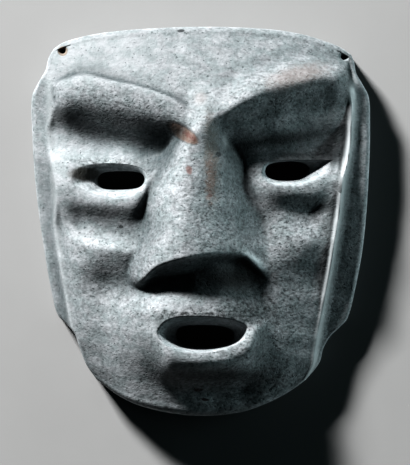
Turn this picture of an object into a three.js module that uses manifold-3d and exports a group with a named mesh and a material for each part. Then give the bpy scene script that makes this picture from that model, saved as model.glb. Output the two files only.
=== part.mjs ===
// Pendant mask: a stylised face carved from one piece of speckled green-grey stone,
// hollowed behind, with eyes and mouth cut right through and a cord hole drilled
// through each upper corner. It lies on its hollowed back, face up.
//
// Millimetres. +X is the viewer's right, +Y points to the forehead and +Z out of
// the face. The origin is the middle of the outline, on the plane of the back rim.

import * as THREE from 'three';
import { mergeVertices } from 'three/addons/utils/BufferGeometryUtils.js';
import Module from 'manifold-3d';

// Overall size of the outline.
const WIDTH = 162;
const HEIGHT = 185;

// Grid of the carved front: cells across and cells up the face.
const COLUMNS = 54;
const ROWS = 62;
const GATHER = 0.3;

// The face before carving: its height over the rim plane at the middle, how it
// falls away to the sides, how the jaw steps back under the cheekbones, and how the
// chin and the forehead curve back.
const CROWN_HEIGHT = 43.5;
const SIDE_FALL = 0.0031;
const LENGTH_FALL = 0.0009;
const JAW_SETBACK = 9;
const CHIN_START = -62;
const CHIN_FALL = 8;
const FOREHEAD_START = 38;
const FOREHEAD_FALL = 11;
const SHOULDER_WIDTH = 15;
const LEFT_SHOULDER = 8;
const RIGHT_SHOULDER = 2;

// Mouth: how far the muzzle and the lower lip stand out, and the dip under the lip.
const MUZZLE_RISE = 13;
const LIP_RISE = 6.5;
const LIP_HALF_WIDTH = 7.5;
const UNDER_LIP_DEPTH = 5;

// Cheeks: hollows under the cheekbones, and the fold between the nose and the right cheek.
const LEFT_HOLLOW_DEPTH = 2;
const RIGHT_HOLLOW_DEPTH = 1.6;
const FOLD_DEPTH = 3;
const FOLD_HALF_WIDTH = 8;

// Nose: how steep its underside is.
const UNDERSIDE_SLOPE = 1.8;

// Ear strips: the flat strips at each side, set back from the face. The wall down to
// them is this wide, and they tilt outwards and end below this height.
const WALL_WIDTH = 6.2;
const LEFT_STRIP_SLOPE = 0.38;
const RIGHT_STRIP_SLOPE = 0.22;
const STRIP_TOP = 74;

// Radius of the worn outer edge, as a share of the stone's thickness there.
const EDGE_ROUND = 0.28;

// The hollow behind, and the cord holes.
const HOLLOW_HALF_WIDTH = 66;
const HOLLOW_HALF_HEIGHT = 80;
const HOLLOW_CENTRE_Y = 1;
const HOLLOW_DEPTH = 27;
const CORD_HOLES = [
  { x: -65.8, y: 81.4, radius: 2.35 },
  { x: 68.2, y: 78.4, radius: 2.5 },
];

// Outline: the two sides run up from the jaw to the ears, the chin and the top
// run from left to right. Each pair is a place along the side, then its position.
const LEFT_SIDE = [[-75.6, -49.6], [-68, -54.8], [-60.3, -57.7], [-53.5, -60.2], [-49.6, -63.6],
  [-45, -68.2], [-37.4, -70.6], [-18, -74.2], [16, -78.8], [48, -80.8], [60, -80.6],
  [66, -77.8], [72, -74.3], [78, -72.8], [82.6, -70.4]];
const RIGHT_SIDE = [[-75.6, 50.3], [-68, 56.5], [-60.3, 58.9], [-54.5, 62.4], [-50.5, 66.6],
  [-46.5, 70.2], [-33.6, 73.7], [-9, 78], [26, 80.5], [50, 80.9], [60, 80.2],
  [66, 77], [71, 74.2], [76, 73.3], [79.9, 71.8]];
const CHIN = [[-49.6, -75.6], [-44.3, -79.5], [-38.6, -83.3], [-29, -87.6], [-15, -91],
  [2, -92.6], [19.2, -90.9], [31.2, -86.9], [38.8, -83.3], [45, -79.5], [50.3, -75.6]];
const TOP_EDGE = [[-70.4, 82.6], [-66.3, 85.4], [-60.6, 87.3], [-49, 89.7], [-30, 91.5],
  [0, 92.6], [31, 91.7], [48.4, 89.3], [60, 85.9], [67, 83.2], [71.8, 79.9]];

// The face's steps from the forehead down, as lines of heights y for places x, and
// how far the face stands out or lies back there, in each half.
const LEFT_STEPS = {
  browTop: [[-76, 62], [-67, 68], [-60, 70.6], [-53, 71], [-42, 68], [-31, 65.5], [-17, 60.5],
    [-5, 56], [0, 54]],
  browCrest: [[-76, 61], [-67, 65], [-60, 67], [-53, 67.5], [-42, 65.6], [-31, 63.3], [-17, 59],
    [-5, 51], [0, 47]],
  socket: [[-76, 43], [-68, 41.5], [-62, 41], [-53, 39.3], [-42, 35.7], [-31, 33.8], [-17, 33.3], [0, 33]],
  lid: [[-76, 17], [-62, 14], [-53, 10], [-42, 8.5], [-31, 10.4], [-25, 16], [-21, 24], [-17, 29], [0, 29]],
  groove: [[-76, 6], [-62, 1.3], [-53, -1], [-42, -4.4], [-33, -4], [-27, 3], [-23, 11], [-20, 21],
    [-17, 26], [0, 27]],
  cheek: [[-76, -8], [-62, -10], [-53, -13], [-42, -14], [-33, -16], [-27, -14], [-17, -5], [0, 10]],
  browRise: 5.5,
  socketDepth: 10.5,
  lidDepth: 1.5,
  grooveDepth: 6.5,
  cheekDepth: 1.5,
};
const RIGHT_STEPS = {
  browTop: [[0, 54], [11.6, 65], [21, 71.5], [33, 75], [42.7, 78.5], [52, 79.5], [62, 79], [76, 76]],
  browCrest: [[0, 46], [11.6, 52], [21, 57.5], [33, 63], [42.7, 65.3], [52, 67.3], [62, 69], [76, 69]],
  browWaist: [[0, 40], [10, 42], [21, 45.5], [33, 50], [42.7, 52], [52, 55.5], [62, 55], [76, 52]],
  socket: [[0, 33], [17, 30], [25, 29.5], [32, 30], [40, 31], [49, 31.5], [57.5, 31.5], [76, 31]],
  lid: [[0, 29], [15, 28], [20, 22], [27, 18], [33, 17], [42.7, 15.2], [52, 15.2], [61.8, 17.6],
    [70, 20], [76, 22]],
  groove: [[0, 27], [15, 25], [18, 20], [21, 13], [27, 6], [33, 3.5], [42.7, 3.8], [52, 3.8],
    [61.8, 4.5], [70, 6], [76, 7]],
  cheek: [[0, 10], [17, -4], [27, -12], [33, -13], [42.7, -14], [52, -12.5], [61.8, -10], [76, -8]],
  browRise: 7,
  socketDepth: 12,
  lidDepth: 6,
  grooveDepth: 11,
  cheekDepth: 7,
};
const LOWER_LIP = [[-34, -46], [-26, -53], [-18, -62], [-8, -66.4], [4, -67.5], [16, -65],
  [25, -57], [31, -48]];

// Nose, each a place x or a height z for a height y: its two feet and its crest, its
// ridge, and how far its feet lie under the plain face. Its lower edge is a height y
// for a place x.
const NOSE_LEFT = [[-40, -28], [-34, -32], [-30, -35], [-25.5, -36.5], [-13.5, -31.5], [-4, -26.5],
  [10, -24.5], [20, -21], [34, -14.5], [44, -11], [54, -9]];
const NOSE_RIGHT = [[-40, 38], [-25, 35], [-13.5, 31], [-4, 27.5], [10, 24], [20, 20.5], [34, 16],
  [44, 13], [50, 16], [58, 24]];
const NOSE_CREST = [[-40, -9], [-15, -8.5], [0, -7], [10, -5], [22, -4.5], [34, -5], [44, 0], [50, 3],
  [62, 4]];
const NOSE_RIDGE = [[-40, 57.5], [-15, 55], [10, 52.5], [34, 49.5], [44, 48.3], [50, 47.1], [56, 44.3],
  [62, 39.9], [66, 36], [92, 9.5]];
const LEFT_FEET = [[-40, 4], [-25, 5], [-4, 5], [10, 7], [20, 9], [34, 9], [44, 7], [54, 3]];
const RIGHT_FEET = [[-40, 7], [-25, 11], [-4, 12], [10, 11], [20, 9.5], [34, 6], [44, 4], [54, 2]];
const NOSE_LOWER_EDGE = [[-45, -36], [-34, -31.5], [-27.6, -27.4], [-21.9, -21.9], [-17.1, -19.4],
  [-7.5, -16.9], [2, -15.4], [11.6, -14.9], [20.2, -15.4], [24, -17.2], [28.8, -21.6],
  [32.6, -25.5], [36, -31], [50, -48]];

// The face's two edges, x for a height y, and the strips' height z for a height y.
const FACE_LEFT = [[-92, -40], [-70, -53.5], [-60, -57], [-51.7, -59.2], [-32.6, -62.5], [-9, -66.2],
  [15, -68], [39, -69.4], [65, -70.8], [92, -73]];
const FACE_RIGHT = [[-92, 36.4], [-70, 51.4], [-60, 53.4], [-51.7, 54.9], [-32.6, 58], [-9, 62],
  [15, 65.4], [39, 69], [65, 70.9], [92, 71.4]];
const STRIP_LEVEL = [[-92, 10.5], [-70, 11], [-50, 12.5], [-30, 14.5], [0, 17], [30, 18.5],
  [55, 17.5], [80, 16.5]];

// Openings: the rim on the face and the smaller hole where it breaks into the hollow.
const LEFT_EYE = {
  rim: [[-61.8, 19], [-57.7, 25.5], [-50.6, 27.5], [-42.4, 27.8], [-33.8, 27.1], [-27.4, 25],
    [-25, 20.9], [-27.1, 15.2], [-33.3, 11.6], [-42.4, 10.6], [-52, 12.5], [-58.7, 15.9]],
  hole: [[-49.1, 20], [-47.9, 22.3], [-45.8, 23.4], [-42.4, 23.9], [-34.8, 24], [-29, 23.2], [-26.7, 20.9],
    [-27.4, 17.8], [-30.5, 15.9], [-37.6, 15.2], [-45.3, 15.5], [-48.2, 17.1]],
};
const RIGHT_EYE = {
  rim: [[28.8, 24.3], [31.2, 27.8], [36.4, 29], [43.6, 29.4], [52.2, 29.4], [58.9, 29.4], [63.7, 28.8],
    [62.3, 24.7], [58, 20.7], [51.3, 17.8], [42.7, 16.1], [34, 17.1], [29.3, 20.4]],
  hole: [[30.6, 24.1], [32.1, 26.9], [36.4, 28.1], [42.7, 28.6], [46.5, 28.4], [49.4, 27.7], [51.7, 25.9],
    [51.3, 23.8], [49.8, 21.9], [47, 20.2], [41.7, 19.5], [36, 19.7], [31.7, 21.4]],
};
const MOUTH = {
  rim: [[-20.9, -52.7], [-17.6, -47.4], [-11.4, -44.7], [-2.7, -44.2], [6.8, -44.6], [14.9, -45.9],
    [21.6, -48.9], [23.1, -52.2], [20.2, -56], [13, -59.6], [2, -61.8], [-8.5, -61.3], [-16.6, -58.2]],
  hole: [[-11.6, -53.8], [-10.4, -51], [-7.1, -49.6], [-2.7, -49.3], [5.4, -49.2], [11.6, -50.2],
    [14.9, -52], [15.8, -54.6], [14.5, -57.2], [10.2, -58.9], [2, -59.9], [-6.1, -59.2], [-10.4, -57]],
};

// A smooth line through points: cubic between each pair, with the slope at a point
// taken from its two neighbours.
function along(points, place) {
  const last = points.length - 1;
  let index = 0;
  while (index < last - 1 && place > points[index + 1][0]) {
    index += 1;
  }
  const slope = (at) => {
    const before = points[Math.max(at - 1, 0)];
    const after = points[Math.min(at + 1, last)];
    return (after[1] - before[1]) / (after[0] - before[0]);
  };
  const [start, startValue] = points[index];
  const [end, endValue] = points[index + 1];
  const span = end - start;
  const part = THREE.MathUtils.clamp((place - start) / span, 0, 1);
  const square = part * part;
  const cube = square * part;
  return (2 * cube - 3 * square + 1) * startValue + (cube - 2 * square + part) * span * slope(index)
    + (3 * square - 2 * cube) * endValue + (cube - square) * span * slope(index + 1);
}

// The larger of two heights, with the corner between them rounded.
function blendUp(first, second, round) {
  const share = THREE.MathUtils.clamp(0.5 + (0.5 * (first - second)) / round, 0, 1);
  return second + (first - second) * share + 0.5 * round * share * (1 - share);
}

function blendDown(first, second, round) {
  return -blendUp(-first, -second, round);
}

function ease(value) {
  return THREE.MathUtils.smoothstep(value, 0, 1);
}

// A rounded rise of height 1 over an upright oval; a higher power squares it off.
function mound(x, y, centreX, centreY, halfWidth, halfHeight, power = 1) {
  const across = (x - centreX) / halfWidth;
  const upward = (y - centreY) / halfHeight;
  return Math.exp(-((across * across + upward * upward) ** power));
}

// The share of a half-cosine step passed at a height, from its start down to its end.
function passed(y, start, end, roundness = 1) {
  const part = THREE.MathUtils.clamp((start - y) / (start - end), 0, 1);
  return part + roundness * (0.5 - 0.5 * Math.cos(Math.PI * part) - part);
}

// The plain curved face that everything is carved from.
function plainFace(x, y) {
  const chin = Math.max(0, CHIN_START - y) / 26;
  const chinShare = 0.15 + 0.85 * ease((x + 18) / 18);
  const right = ease((x - 22) / 16);
  const jawShare = ease((x + 66) / 22) + 0.35 * ease(x / 55);
  const forehead = Math.max(0, y - FOREHEAD_START) / 54;
  return CROWN_HEIGHT - SIDE_FALL * x * x - LENGTH_FALL * (y - 5) ** 2
    - JAW_SETBACK * jawShare * ease((4 * right - 11 - y) / (25 + 20 * right))
    - CHIN_FALL * chinShare * chin ** 2 - FOREHEAD_FALL * forehead ** 1.7;
}

// How far the cheeks fall towards the face's two edges, more on the left.
function shoulders(x, y, inward) {
  const near = THREE.MathUtils.clamp(1 - inward / SHOULDER_WIDTH, 0, 1) ** 2;
  return (x < 0 ? LEFT_SHOULDER : RIGHT_SHOULDER) * near * ease((16 - y) / 20);
}

// Brow rolls, the sockets under them, the lids, and the grooves over the cheekbones.
function eyeRegion(x, y, inward) {
  const steps = x < 0 ? LEFT_STEPS : RIGHT_STEPS;
  const top = along(steps.browTop, x);
  const crest = along(steps.browCrest, x);
  const socket = along(steps.socket, x);
  const lid = along(steps.lid, x);
  const groove = along(steps.groove, x);
  const cheek = along(steps.cheek, x);
  const offBridge = ease((Math.abs(x) - 1) / 16);
  const besideNose = x < 0 ? ease((-x - 19) / 8) : ease((x - 16) / 20);
  const besideEdge = x < 0
    ? ease(inward / 6 + 1)
    : (0.65 + 0.35 * ease(inward / 6)) * ease(inward / 4 + 1);
  const grooveEnd = x < 0 ? ease((inward - 1) / 10) : besideEdge;
  const brow = steps.browRise * (0.5 + 0.5 * ease(inward / 7)) * (0.5 + 0.5 * ease(Math.abs(x) / 18));
  const socketDepth = steps.socketDepth * offBridge * besideEdge;
  const lidDepth = socketDepth + (steps.lidDepth * besideEdge - socketDepth) * besideNose;
  const grooveDepth = socketDepth + (steps.grooveDepth * grooveEnd - socketDepth) * besideNose;
  const cheekDip = x < 0 ? 2 * ease((x + 40) / 12) : 0;
  const cheekDepth = (steps.cheekDepth * grooveEnd + cheekDip) * offBridge;
  const up = THREE.MathUtils.clamp((top - y) / (top - crest), 0, 1);
  const down = THREE.MathUtils.clamp((crest - y) / (crest - socket), 0, 1);
  const waist = steps.browWaist && along(steps.browWaist, x);
  const fall = steps.browWaist
    ? 0.5 * (passed(y, crest, waist, 0.5) + passed(y, waist, socket, 0.5))
    : 0.5 - 0.5 * Math.cos(Math.PI * down ** 1.3);
  return brow * Math.sin((up * Math.PI) / 2) - (brow + socketDepth) * fall
    + (socketDepth - lidDepth) * passed(y, socket, lid)
    + (lidDepth - grooveDepth) * passed(y, lid, groove)
    + (grooveDepth - cheekDepth) * passed(y, groove, cheek)
    + cheekDepth * passed(y, cheek, cheek - (x < 0 ? 26 : 42));
}

// The hollows under the cheekbones, the muzzle, and the lower lip with the dip under it.
function cheeksAndMouth(x, y) {
  const hollows = LEFT_HOLLOW_DEPTH * mound(x, y, -42, -30, 13, 8.5)
    + RIGHT_HOLLOW_DEPTH * mound(x, y, 52, -26, 10, 10);
  const muzzle = MUZZLE_RISE * mound(x, y, -5, -50, 34, 24, 1.4);
  const underLip = UNDER_LIP_DEPTH * mound(x, y, 9, -78, 19, 7);
  const lipEnds = ease((x + 26) / 12) * ease((35 - x) / 8) * ease((-42 - y) / 8);
  const fromLip = Math.abs(y - along(LOWER_LIP, x)) / LIP_HALF_WIDTH;
  const lip = LIP_RISE * Math.exp(-(fromLip ** 2.6)) * lipEnds;
  return muzzle - hollows - underLip - fold(x, y) + lip;
}

// The fold between the nose and the right cheek, fading at the eye and at the mouth.
function fold(x, y) {
  const across = (x - along(NOSE_RIGHT, y) - 2) / FOLD_HALF_WIDTH;
  return FOLD_DEPTH * Math.exp(-(across ** 2)) * ease((8 - y) / 14) * ease((y + 22) / 14);
}

// Height of the nose before its underside is cut.
function noseTop(x, y, foot) {
  const crest = along(NOSE_CREST, y);
  const onLeft = x < crest;
  const edge = onLeft ? along(NOSE_LEFT, y) : along(NOSE_RIGHT, y);
  const offset = Math.min((x - crest) / (edge - crest), 1.6);
  const drop = offset ** (onLeft ? 2 : 1.55 + 0.65 * ease((y - 10) / 24));
  const rise = along(NOSE_RIDGE, y) - foot;
  return foot + (rise > 0 ? rise * (1 - drop) : rise);
}

function nose(x, y, plain) {
  const foot = plain - along(x < along(NOSE_CREST, y) ? LEFT_FEET : RIGHT_FEET, y);
  const edgeY = along(NOSE_LOWER_EDGE, x);
  const underside = noseTop(x, edgeY, foot) + UNDERSIDE_SLOPE * (y - edgeY);
  return blendDown(noseTop(x, y, foot), underside, 1.2);
}

// Height of the carved face over the plane of the back rim.
function faceHeight(x, y) {
  const left = along(FACE_LEFT, y);
  const right = along(FACE_RIGHT, y);
  const inward = x < 0 ? x - left : right - x;
  const plain = plainFace(THREE.MathUtils.clamp(x, left, right), y);
  const carved = plain + eyeRegion(x, y, inward) + cheeksAndMouth(x, y) - shoulders(x, y, inward);
  const corner = 3 + 3 * ease((x - 10) / 10);
  const face = blendUp(carved, nose(x, y, plain), corner);
  if (inward > 1) {
    return face;
  }
  const part = THREE.MathUtils.clamp(-inward / WALL_WIDTH, 0, 1);
  const wall = (1 - (1 - part) ** 2) * ease((STRIP_TOP - y) / 16);
  const slope = x < 0 ? LEFT_STRIP_SLOPE : RIGHT_STRIP_SLOPE;
  const level = along(STRIP_LEVEL, y) - slope * Math.max(0, -inward - 4);
  return blendDown(face, plain + 0.6 + (level - plain) * wall, 1);
}

// The face as one cell of the grid shows it: the mean of the heights around a place,
// so that a crease running across the cells stays even.
function frontHeight(x, y) {
  const reach = 1.3;
  const around = faceHeight(x - reach, y) + faceHeight(x + reach, y)
    + faceHeight(x, y - reach) + faceHeight(x, y + reach);
  return (around + 2 * faceHeight(x, y)) / 6;
}

// How far the worn outer edge has dropped at a distance in from the outline: a
// quarter round, larger where the stone is thick.
function edgeDrop(distance, height) {
  const radius = THREE.MathUtils.clamp(EDGE_ROUND * height, 1.5, 5.5);
  const short = Math.max(0, 1 - distance / radius);
  return radius * (1 - Math.sqrt(1 - short * short));
}

// A point of the outline's sheet: across and upward run from 0 to 1, and the four
// edges of the sheet are the jaw, the top edge and the two sides. Each side's ends
// are the corners of the chin and of the top edge, so the sheet's corners meet.
function sheet(across, upward) {
  const mix = THREE.MathUtils.lerp;
  const ends = (line) => [line[0][0], line[line.length - 1][0]];
  const [chinStart, chinEnd] = ends(CHIN);
  const [topStart, topEnd] = ends(TOP_EDGE);
  const [leftStart, leftEnd] = ends(LEFT_SIDE);
  const [rightStart, rightEnd] = ends(RIGHT_SIDE);
  const chinX = mix(chinStart, chinEnd, across);
  const topX = mix(topStart, topEnd, across);
  const leftY = mix(leftStart, leftEnd, upward);
  const rightY = mix(rightStart, rightEnd, upward);
  const x = mix(along(LEFT_SIDE, leftY), along(RIGHT_SIDE, rightY), across);
  const y = mix(along(CHIN, chinX), along(TOP_EDGE, topX), upward);
  return [x, y];
}

// Moves every vertex of a geometry and leaves only its merged positions.
function reshape(geometry, place) {
  geometry.deleteAttribute('normal');
  geometry.deleteAttribute('uv');
  const merged = mergeVertices(geometry, 1e-5);
  const position = merged.getAttribute('position');
  for (let i = 0; i < position.count; i += 1) {
    position.setXYZ(i, ...place(position.getX(i), position.getY(i), position.getZ(i)));
  }
  return mergeVertices(merged, 1e-4);
}

// Leaves out the triangles that have closed up into a line or a point.
function withoutSlivers(geometry) {
  const corners = geometry.getIndex().array;
  const kept = [];
  for (let i = 0; i < corners.length; i += 3) {
    const [first, second, third] = corners.subarray(i, i + 3);
    if (first !== second && second !== third && third !== first) {
      kept.push(first, second, third);
    }
  }
  geometry.setIndex(kept);
  return geometry;
}

// Grid lines gathered towards the middle of the face, where the carving is finest.
function gathered(share) {
  return share + (GATHER * Math.sin(2 * Math.PI * share)) / (2 * Math.PI);
}

// Turns the diagonal of each cell, a pair of triangles with two shared corners, to
// join its two corners that are nearer in height, so that creases stay unbroken.
function turnDiagonals(geometry) {
  const position = geometry.getAttribute('position');
  const corners = geometry.getIndex().array;
  const step = (first, second) => Math.abs(position.getZ(first) - position.getZ(second));
  for (let i = 0; i + 5 < corners.length; i += 6) {
    const [first, second, fourth] = corners.subarray(i, i + 3);
    const third = corners[i + 4];
    if (step(first, third) < step(second, fourth)) {
      corners.set([first, second, third, first, third, fourth], i);
    }
  }
}

// The stone before its openings: the carved front on the outline's sheet, upright
// sides, and a flat back whose cells all meet in one point, as the hollow takes them.
function outerBlock() {
  const box = new THREE.BoxGeometry(1, 1, 1, COLUMNS, ROWS, 1);
  const block = reshape(box, (across, upward, level) => {
    const onSide = Math.max(Math.abs(across), Math.abs(upward)) > 0.4999;
    if (level < 0 && !onSide) {
      return [0, HOLLOW_CENTRE_Y, 0];
    }
    const [x, y] = sheet(gathered(across + 0.5), gathered(upward + 0.5));
    if (level < 0) {
      return [x, y, 0];
    }
    const height = frontHeight(x, y);
    const toSide = gathered(0.5 - Math.abs(across)) * WIDTH;
    const toEnd = gathered(0.5 - Math.abs(upward)) * HEIGHT;
    const inside = Math.min(toSide, toEnd);
    return [x, y, height - edgeDrop(inside, height)];
  });
  turnDiagonals(block);
  return block;
}

// How far a place lies from the hollow's middle, 0, to its edge, 1. The edge is
// squarer towards the forehead than at the chin.
function hollowShare(x, y) {
  const power = y > HOLLOW_CENTRE_Y ? 3.6 : 2.6;
  const across = Math.abs(x) / HOLLOW_HALF_WIDTH;
  const upward = Math.abs(y - HOLLOW_CENTRE_Y) / HOLLOW_HALF_HEIGHT;
  return (across ** power + upward ** power) ** (1 / power);
}

// Height of the hollow's roof over the rim plane, a little deeper behind the mouth.
function hollowHeight(x, y) {
  const share = Math.min(hollowShare(x, y), 1);
  return HOLLOW_DEPTH * (1 - share ** 2.4) ** 0.8 + 5 * mound(x, y, 1, -46, 30, 20) * (1 - share ** 4);
}

// The space of the hollow: a dome on its edge line, run out past the rim plane.
function hollow() {
  const steps = 11;
  const profile = [new THREE.Vector2(0, -1), new THREE.Vector2(1, -1)];
  for (let i = 0; i < steps; i += 1) {
    profile.push(new THREE.Vector2(Math.cos((i / steps) * Math.PI * 0.5), 1));
  }
  profile.push(new THREE.Vector2(0, 1));
  const dome = new THREE.LatheGeometry(profile, 56).rotateX(Math.PI / 2);
  return reshape(dome, (across, upward, level) => {
    const reach = Math.hypot(across, upward);
    const farX = across * HOLLOW_HALF_WIDTH;
    const farY = upward * HOLLOW_HALF_HEIGHT + HOLLOW_CENTRE_Y;
    const stretch = reach > 0 ? reach / hollowShare(farX, farY) : 1;
    const x = farX * stretch;
    const y = (farY - HOLLOW_CENTRE_Y) * stretch + HOLLOW_CENTRE_Y;
    return [x, y, level > 0 ? hollowHeight(x, y) : -2];
  });
}

// A closed smooth line through an opening's points.
function ring(points) {
  const places = points.map(([x, y]) => new THREE.Vector3(x, y, 0));
  return new THREE.CatmullRomCurve3(places, true, 'catmullrom');
}

// The plug that cuts an opening: as wide as the hole inside the hollow, then
// widening through the wall to the rim on the face and on past it.
function opening({ rim, hole }) {
  const sides = 36;
  const past = 1.4;
  const rimLine = ring(rim);
  const holeLine = ring(hole);
  const middle = holeLine.getPoint(0).lerp(holeLine.getPoint(0.5), 0.5);
  const plug = new THREE.CylinderGeometry(1, 1, 2, sides, 2).rotateX(Math.PI / 2);
  return reshape(plug, (across, upward, level) => {
    const onAxis = Math.hypot(across, upward) < 0.5;
    const turn = 0.5 - Math.atan2(upward, across) / (2 * Math.PI);
    const inner = onAxis ? middle : holeLine.getPoint(turn);
    const outer = onAxis ? middle : rimLine.getPoint(turn);
    if (level < -0.5) {
      return [inner.x, inner.y, -1];
    }
    const start = hollowHeight(inner.x, inner.y);
    const share = level < 0.5 ? 0 : past;
    const point = inner.clone().lerp(outer, share);
    return [point.x, point.y, start + (frontHeight(outer.x, outer.y) - start) * share];
  });
}

function cordHole({ x, y, radius }) {
  const bore = new THREE.CylinderGeometry(radius, radius, 60, 24).rotateX(Math.PI / 2);
  return reshape(bore.translate(x, y, 0), (...point) => point);
}

const wasm = await Module();
wasm.setup();

function solidOf(geometry) {
  const closed = withoutSlivers(geometry);
  const vertProperties = Float32Array.from(closed.getAttribute('position').array);
  const triVerts = Uint32Array.from(closed.getIndex().array);
  return new wasm.Manifold(new wasm.Mesh({ numProp: 3, vertProperties, triVerts }));
}

function geometryOf(solid) {
  const { vertProperties, triVerts } = solid.getMesh();
  const geometry = new THREE.BufferGeometry();
  geometry.setAttribute('position', new THREE.BufferAttribute(vertProperties, 3));
  geometry.setIndex(new THREE.BufferAttribute(triVerts, 1));
  return geometry;
}

const cuts = [hollow(), ...[LEFT_EYE, RIGHT_EYE, MOUTH].map(opening), ...CORD_HOLES.map(cordHole)];
const carved = cuts.reduce((solid, cut) => solid.subtract(solidOf(cut)), solidOf(outerBlock()));

const stone = new THREE.MeshStandardMaterial({ color: 0xa9b3ac, roughness: 0.42, metalness: 0 });
const mask = new THREE.Mesh(geometryOf(carved), stone);
mask.name = 'mask';

const pendantMask = new THREE.Group();
pendantMask.name = 'pendant_mask';
pendantMask.add(mask);

export default pendantMask;
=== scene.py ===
"""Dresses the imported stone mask: its finely carved surface, its stone, the light and the camera.

The mask lies on its hollowed back, face up. Sizes are in millimetres until a mesh
is made, with +X to the viewer's right, +Y to the forehead and +Z out of the face.
"""
import logging
from dataclasses import dataclass
from enum import Enum

import bpy
import numpy as np
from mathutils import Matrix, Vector


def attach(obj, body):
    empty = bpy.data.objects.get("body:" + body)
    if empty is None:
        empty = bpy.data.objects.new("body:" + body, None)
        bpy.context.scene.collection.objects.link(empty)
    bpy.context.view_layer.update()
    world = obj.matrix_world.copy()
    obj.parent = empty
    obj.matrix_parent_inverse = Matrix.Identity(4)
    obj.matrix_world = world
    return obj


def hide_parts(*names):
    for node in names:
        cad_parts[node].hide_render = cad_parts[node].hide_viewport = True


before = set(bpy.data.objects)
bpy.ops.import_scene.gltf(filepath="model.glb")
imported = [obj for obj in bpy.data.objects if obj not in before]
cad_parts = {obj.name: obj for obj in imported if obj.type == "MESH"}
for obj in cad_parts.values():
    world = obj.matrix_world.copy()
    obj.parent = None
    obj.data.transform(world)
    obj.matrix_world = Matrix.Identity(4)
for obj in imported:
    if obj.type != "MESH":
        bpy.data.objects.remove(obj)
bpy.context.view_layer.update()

log = logging.getLogger("pendant_mask")

MM = 0.001
Array = np.ndarray
Pair = tuple[float, float]
Triple = tuple[float, float, float]
Line = tuple[Pair, ...]
Socket = bpy.types.NodeSocket


# Lines and soft curves
def along(points: Line, place: Array) -> Array:
    """Value of a smooth line at each place.

    Between two points the line is a cubic whose end slopes come from each point's
    two neighbours. Past its ends the line keeps its last value.

    Args:
        points: The line's points, each a place and the value there.
        place: Where the line is asked for.

    Returns:
        The values, shaped as place is.
    """
    at, value = np.asarray(points, float).T
    count = len(at)
    before = np.maximum(np.arange(count) - 1, 0)
    after = np.minimum(np.arange(count) + 1, count - 1)
    slope = (value[after] - value[before]) / (at[after] - at[before])
    index = np.clip(np.searchsorted(at, place) - 1, 0, count - 2)
    span = at[index + 1] - at[index]
    part = np.clip((place - at[index]) / span, 0, 1)
    square, cube = part**2, part**3
    return (
        (2 * cube - 3 * square + 1) * value[index]
        + (cube - 2 * square + part) * span * slope[index]
        + (3 * square - 2 * cube) * value[index + 1]
        + (cube - square) * span * slope[index + 1]
    )


def closed_line(points: Line, count: int = 720) -> Array:
    """Points along a closed smooth line, a cubic through each four neighbours in turn.

    Args:
        points: The line's own points in order.
        count: How many points to give.

    Returns:
        An array of count rows of x and y.
    """
    given = np.asarray(points, float)
    turn = np.linspace(0, len(given), count, endpoint=False)
    index = turn.astype(int)
    part = (turn - index)[:, None]
    first, second, third, fourth = (given[(index + step) % len(given)] for step in (-1, 0, 1, 2))
    return 0.5 * (
        2 * second
        + (third - first) * part
        + (2 * first - 5 * second + 4 * third - fourth) * part**2
        + (3 * second - first - 3 * third + fourth) * part**3
    )


def ease(value: Array) -> Array:
    """A smooth step from 0 to 1 as value runs from 0 to 1."""
    part = np.clip(value, 0, 1)
    return part * part * (3 - 2 * part)


def past(value: Array, start: float, width: float) -> Array:
    """A smooth step from 0 at start to 1 a width further on."""
    return ease((value - start) / width)


def rising(share: float, step: Array) -> Array:
    """A rise from share to 1 as step runs from 0 to 1."""
    return share + (1 - share) * step


def bell(value: Array, middle: float, width: float) -> Array:
    """A bell curve of height 1: e to the minus of the squared distance in widths."""
    return np.exp(-(((value - middle) / width) ** 2))


def blend_up(first: Array, second: Array, width: float) -> Array:
    """The larger of two heights, with the corner between them rounded over width."""
    share = np.clip(0.5 + 0.5 * (first - second) / width, 0, 1)
    return second + (first - second) * share + 0.5 * width * share * (1 - share)


def blend_down(first: Array, second: Array, width: float) -> Array:
    """The smaller of two heights, with the corner between them rounded over width."""
    return -blend_up(-first, -second, width)


def mound(x: Array, y: Array, middle: Pair,
          half: Pair, power: float = 1.0, turn: float = 0.0) -> Array:
    """A rounded rise of height 1 over an oval; a higher power squares it off.

    The height is e to the minus of the squared distance, measured in half sizes
    along the oval's own turned axes and raised to power.

    Args:
        x: Places across the face.
        y: Places up the face.
        middle: The oval's middle.
        half: Its half sizes along its own axes.
        power: How square its flanks are.
        turn: How far it is turned anticlockwise, in degrees.

    Returns:
        The heights, from 0 to 1.
    """
    angle = np.radians(turn)
    away_x, away_y = x - middle[0], y - middle[1]
    across = (away_x * np.cos(angle) + away_y * np.sin(angle)) / half[0]
    upward = (away_y * np.cos(angle) - away_x * np.sin(angle)) / half[1]
    return np.exp(-((across**2 + upward**2) ** power))


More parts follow.
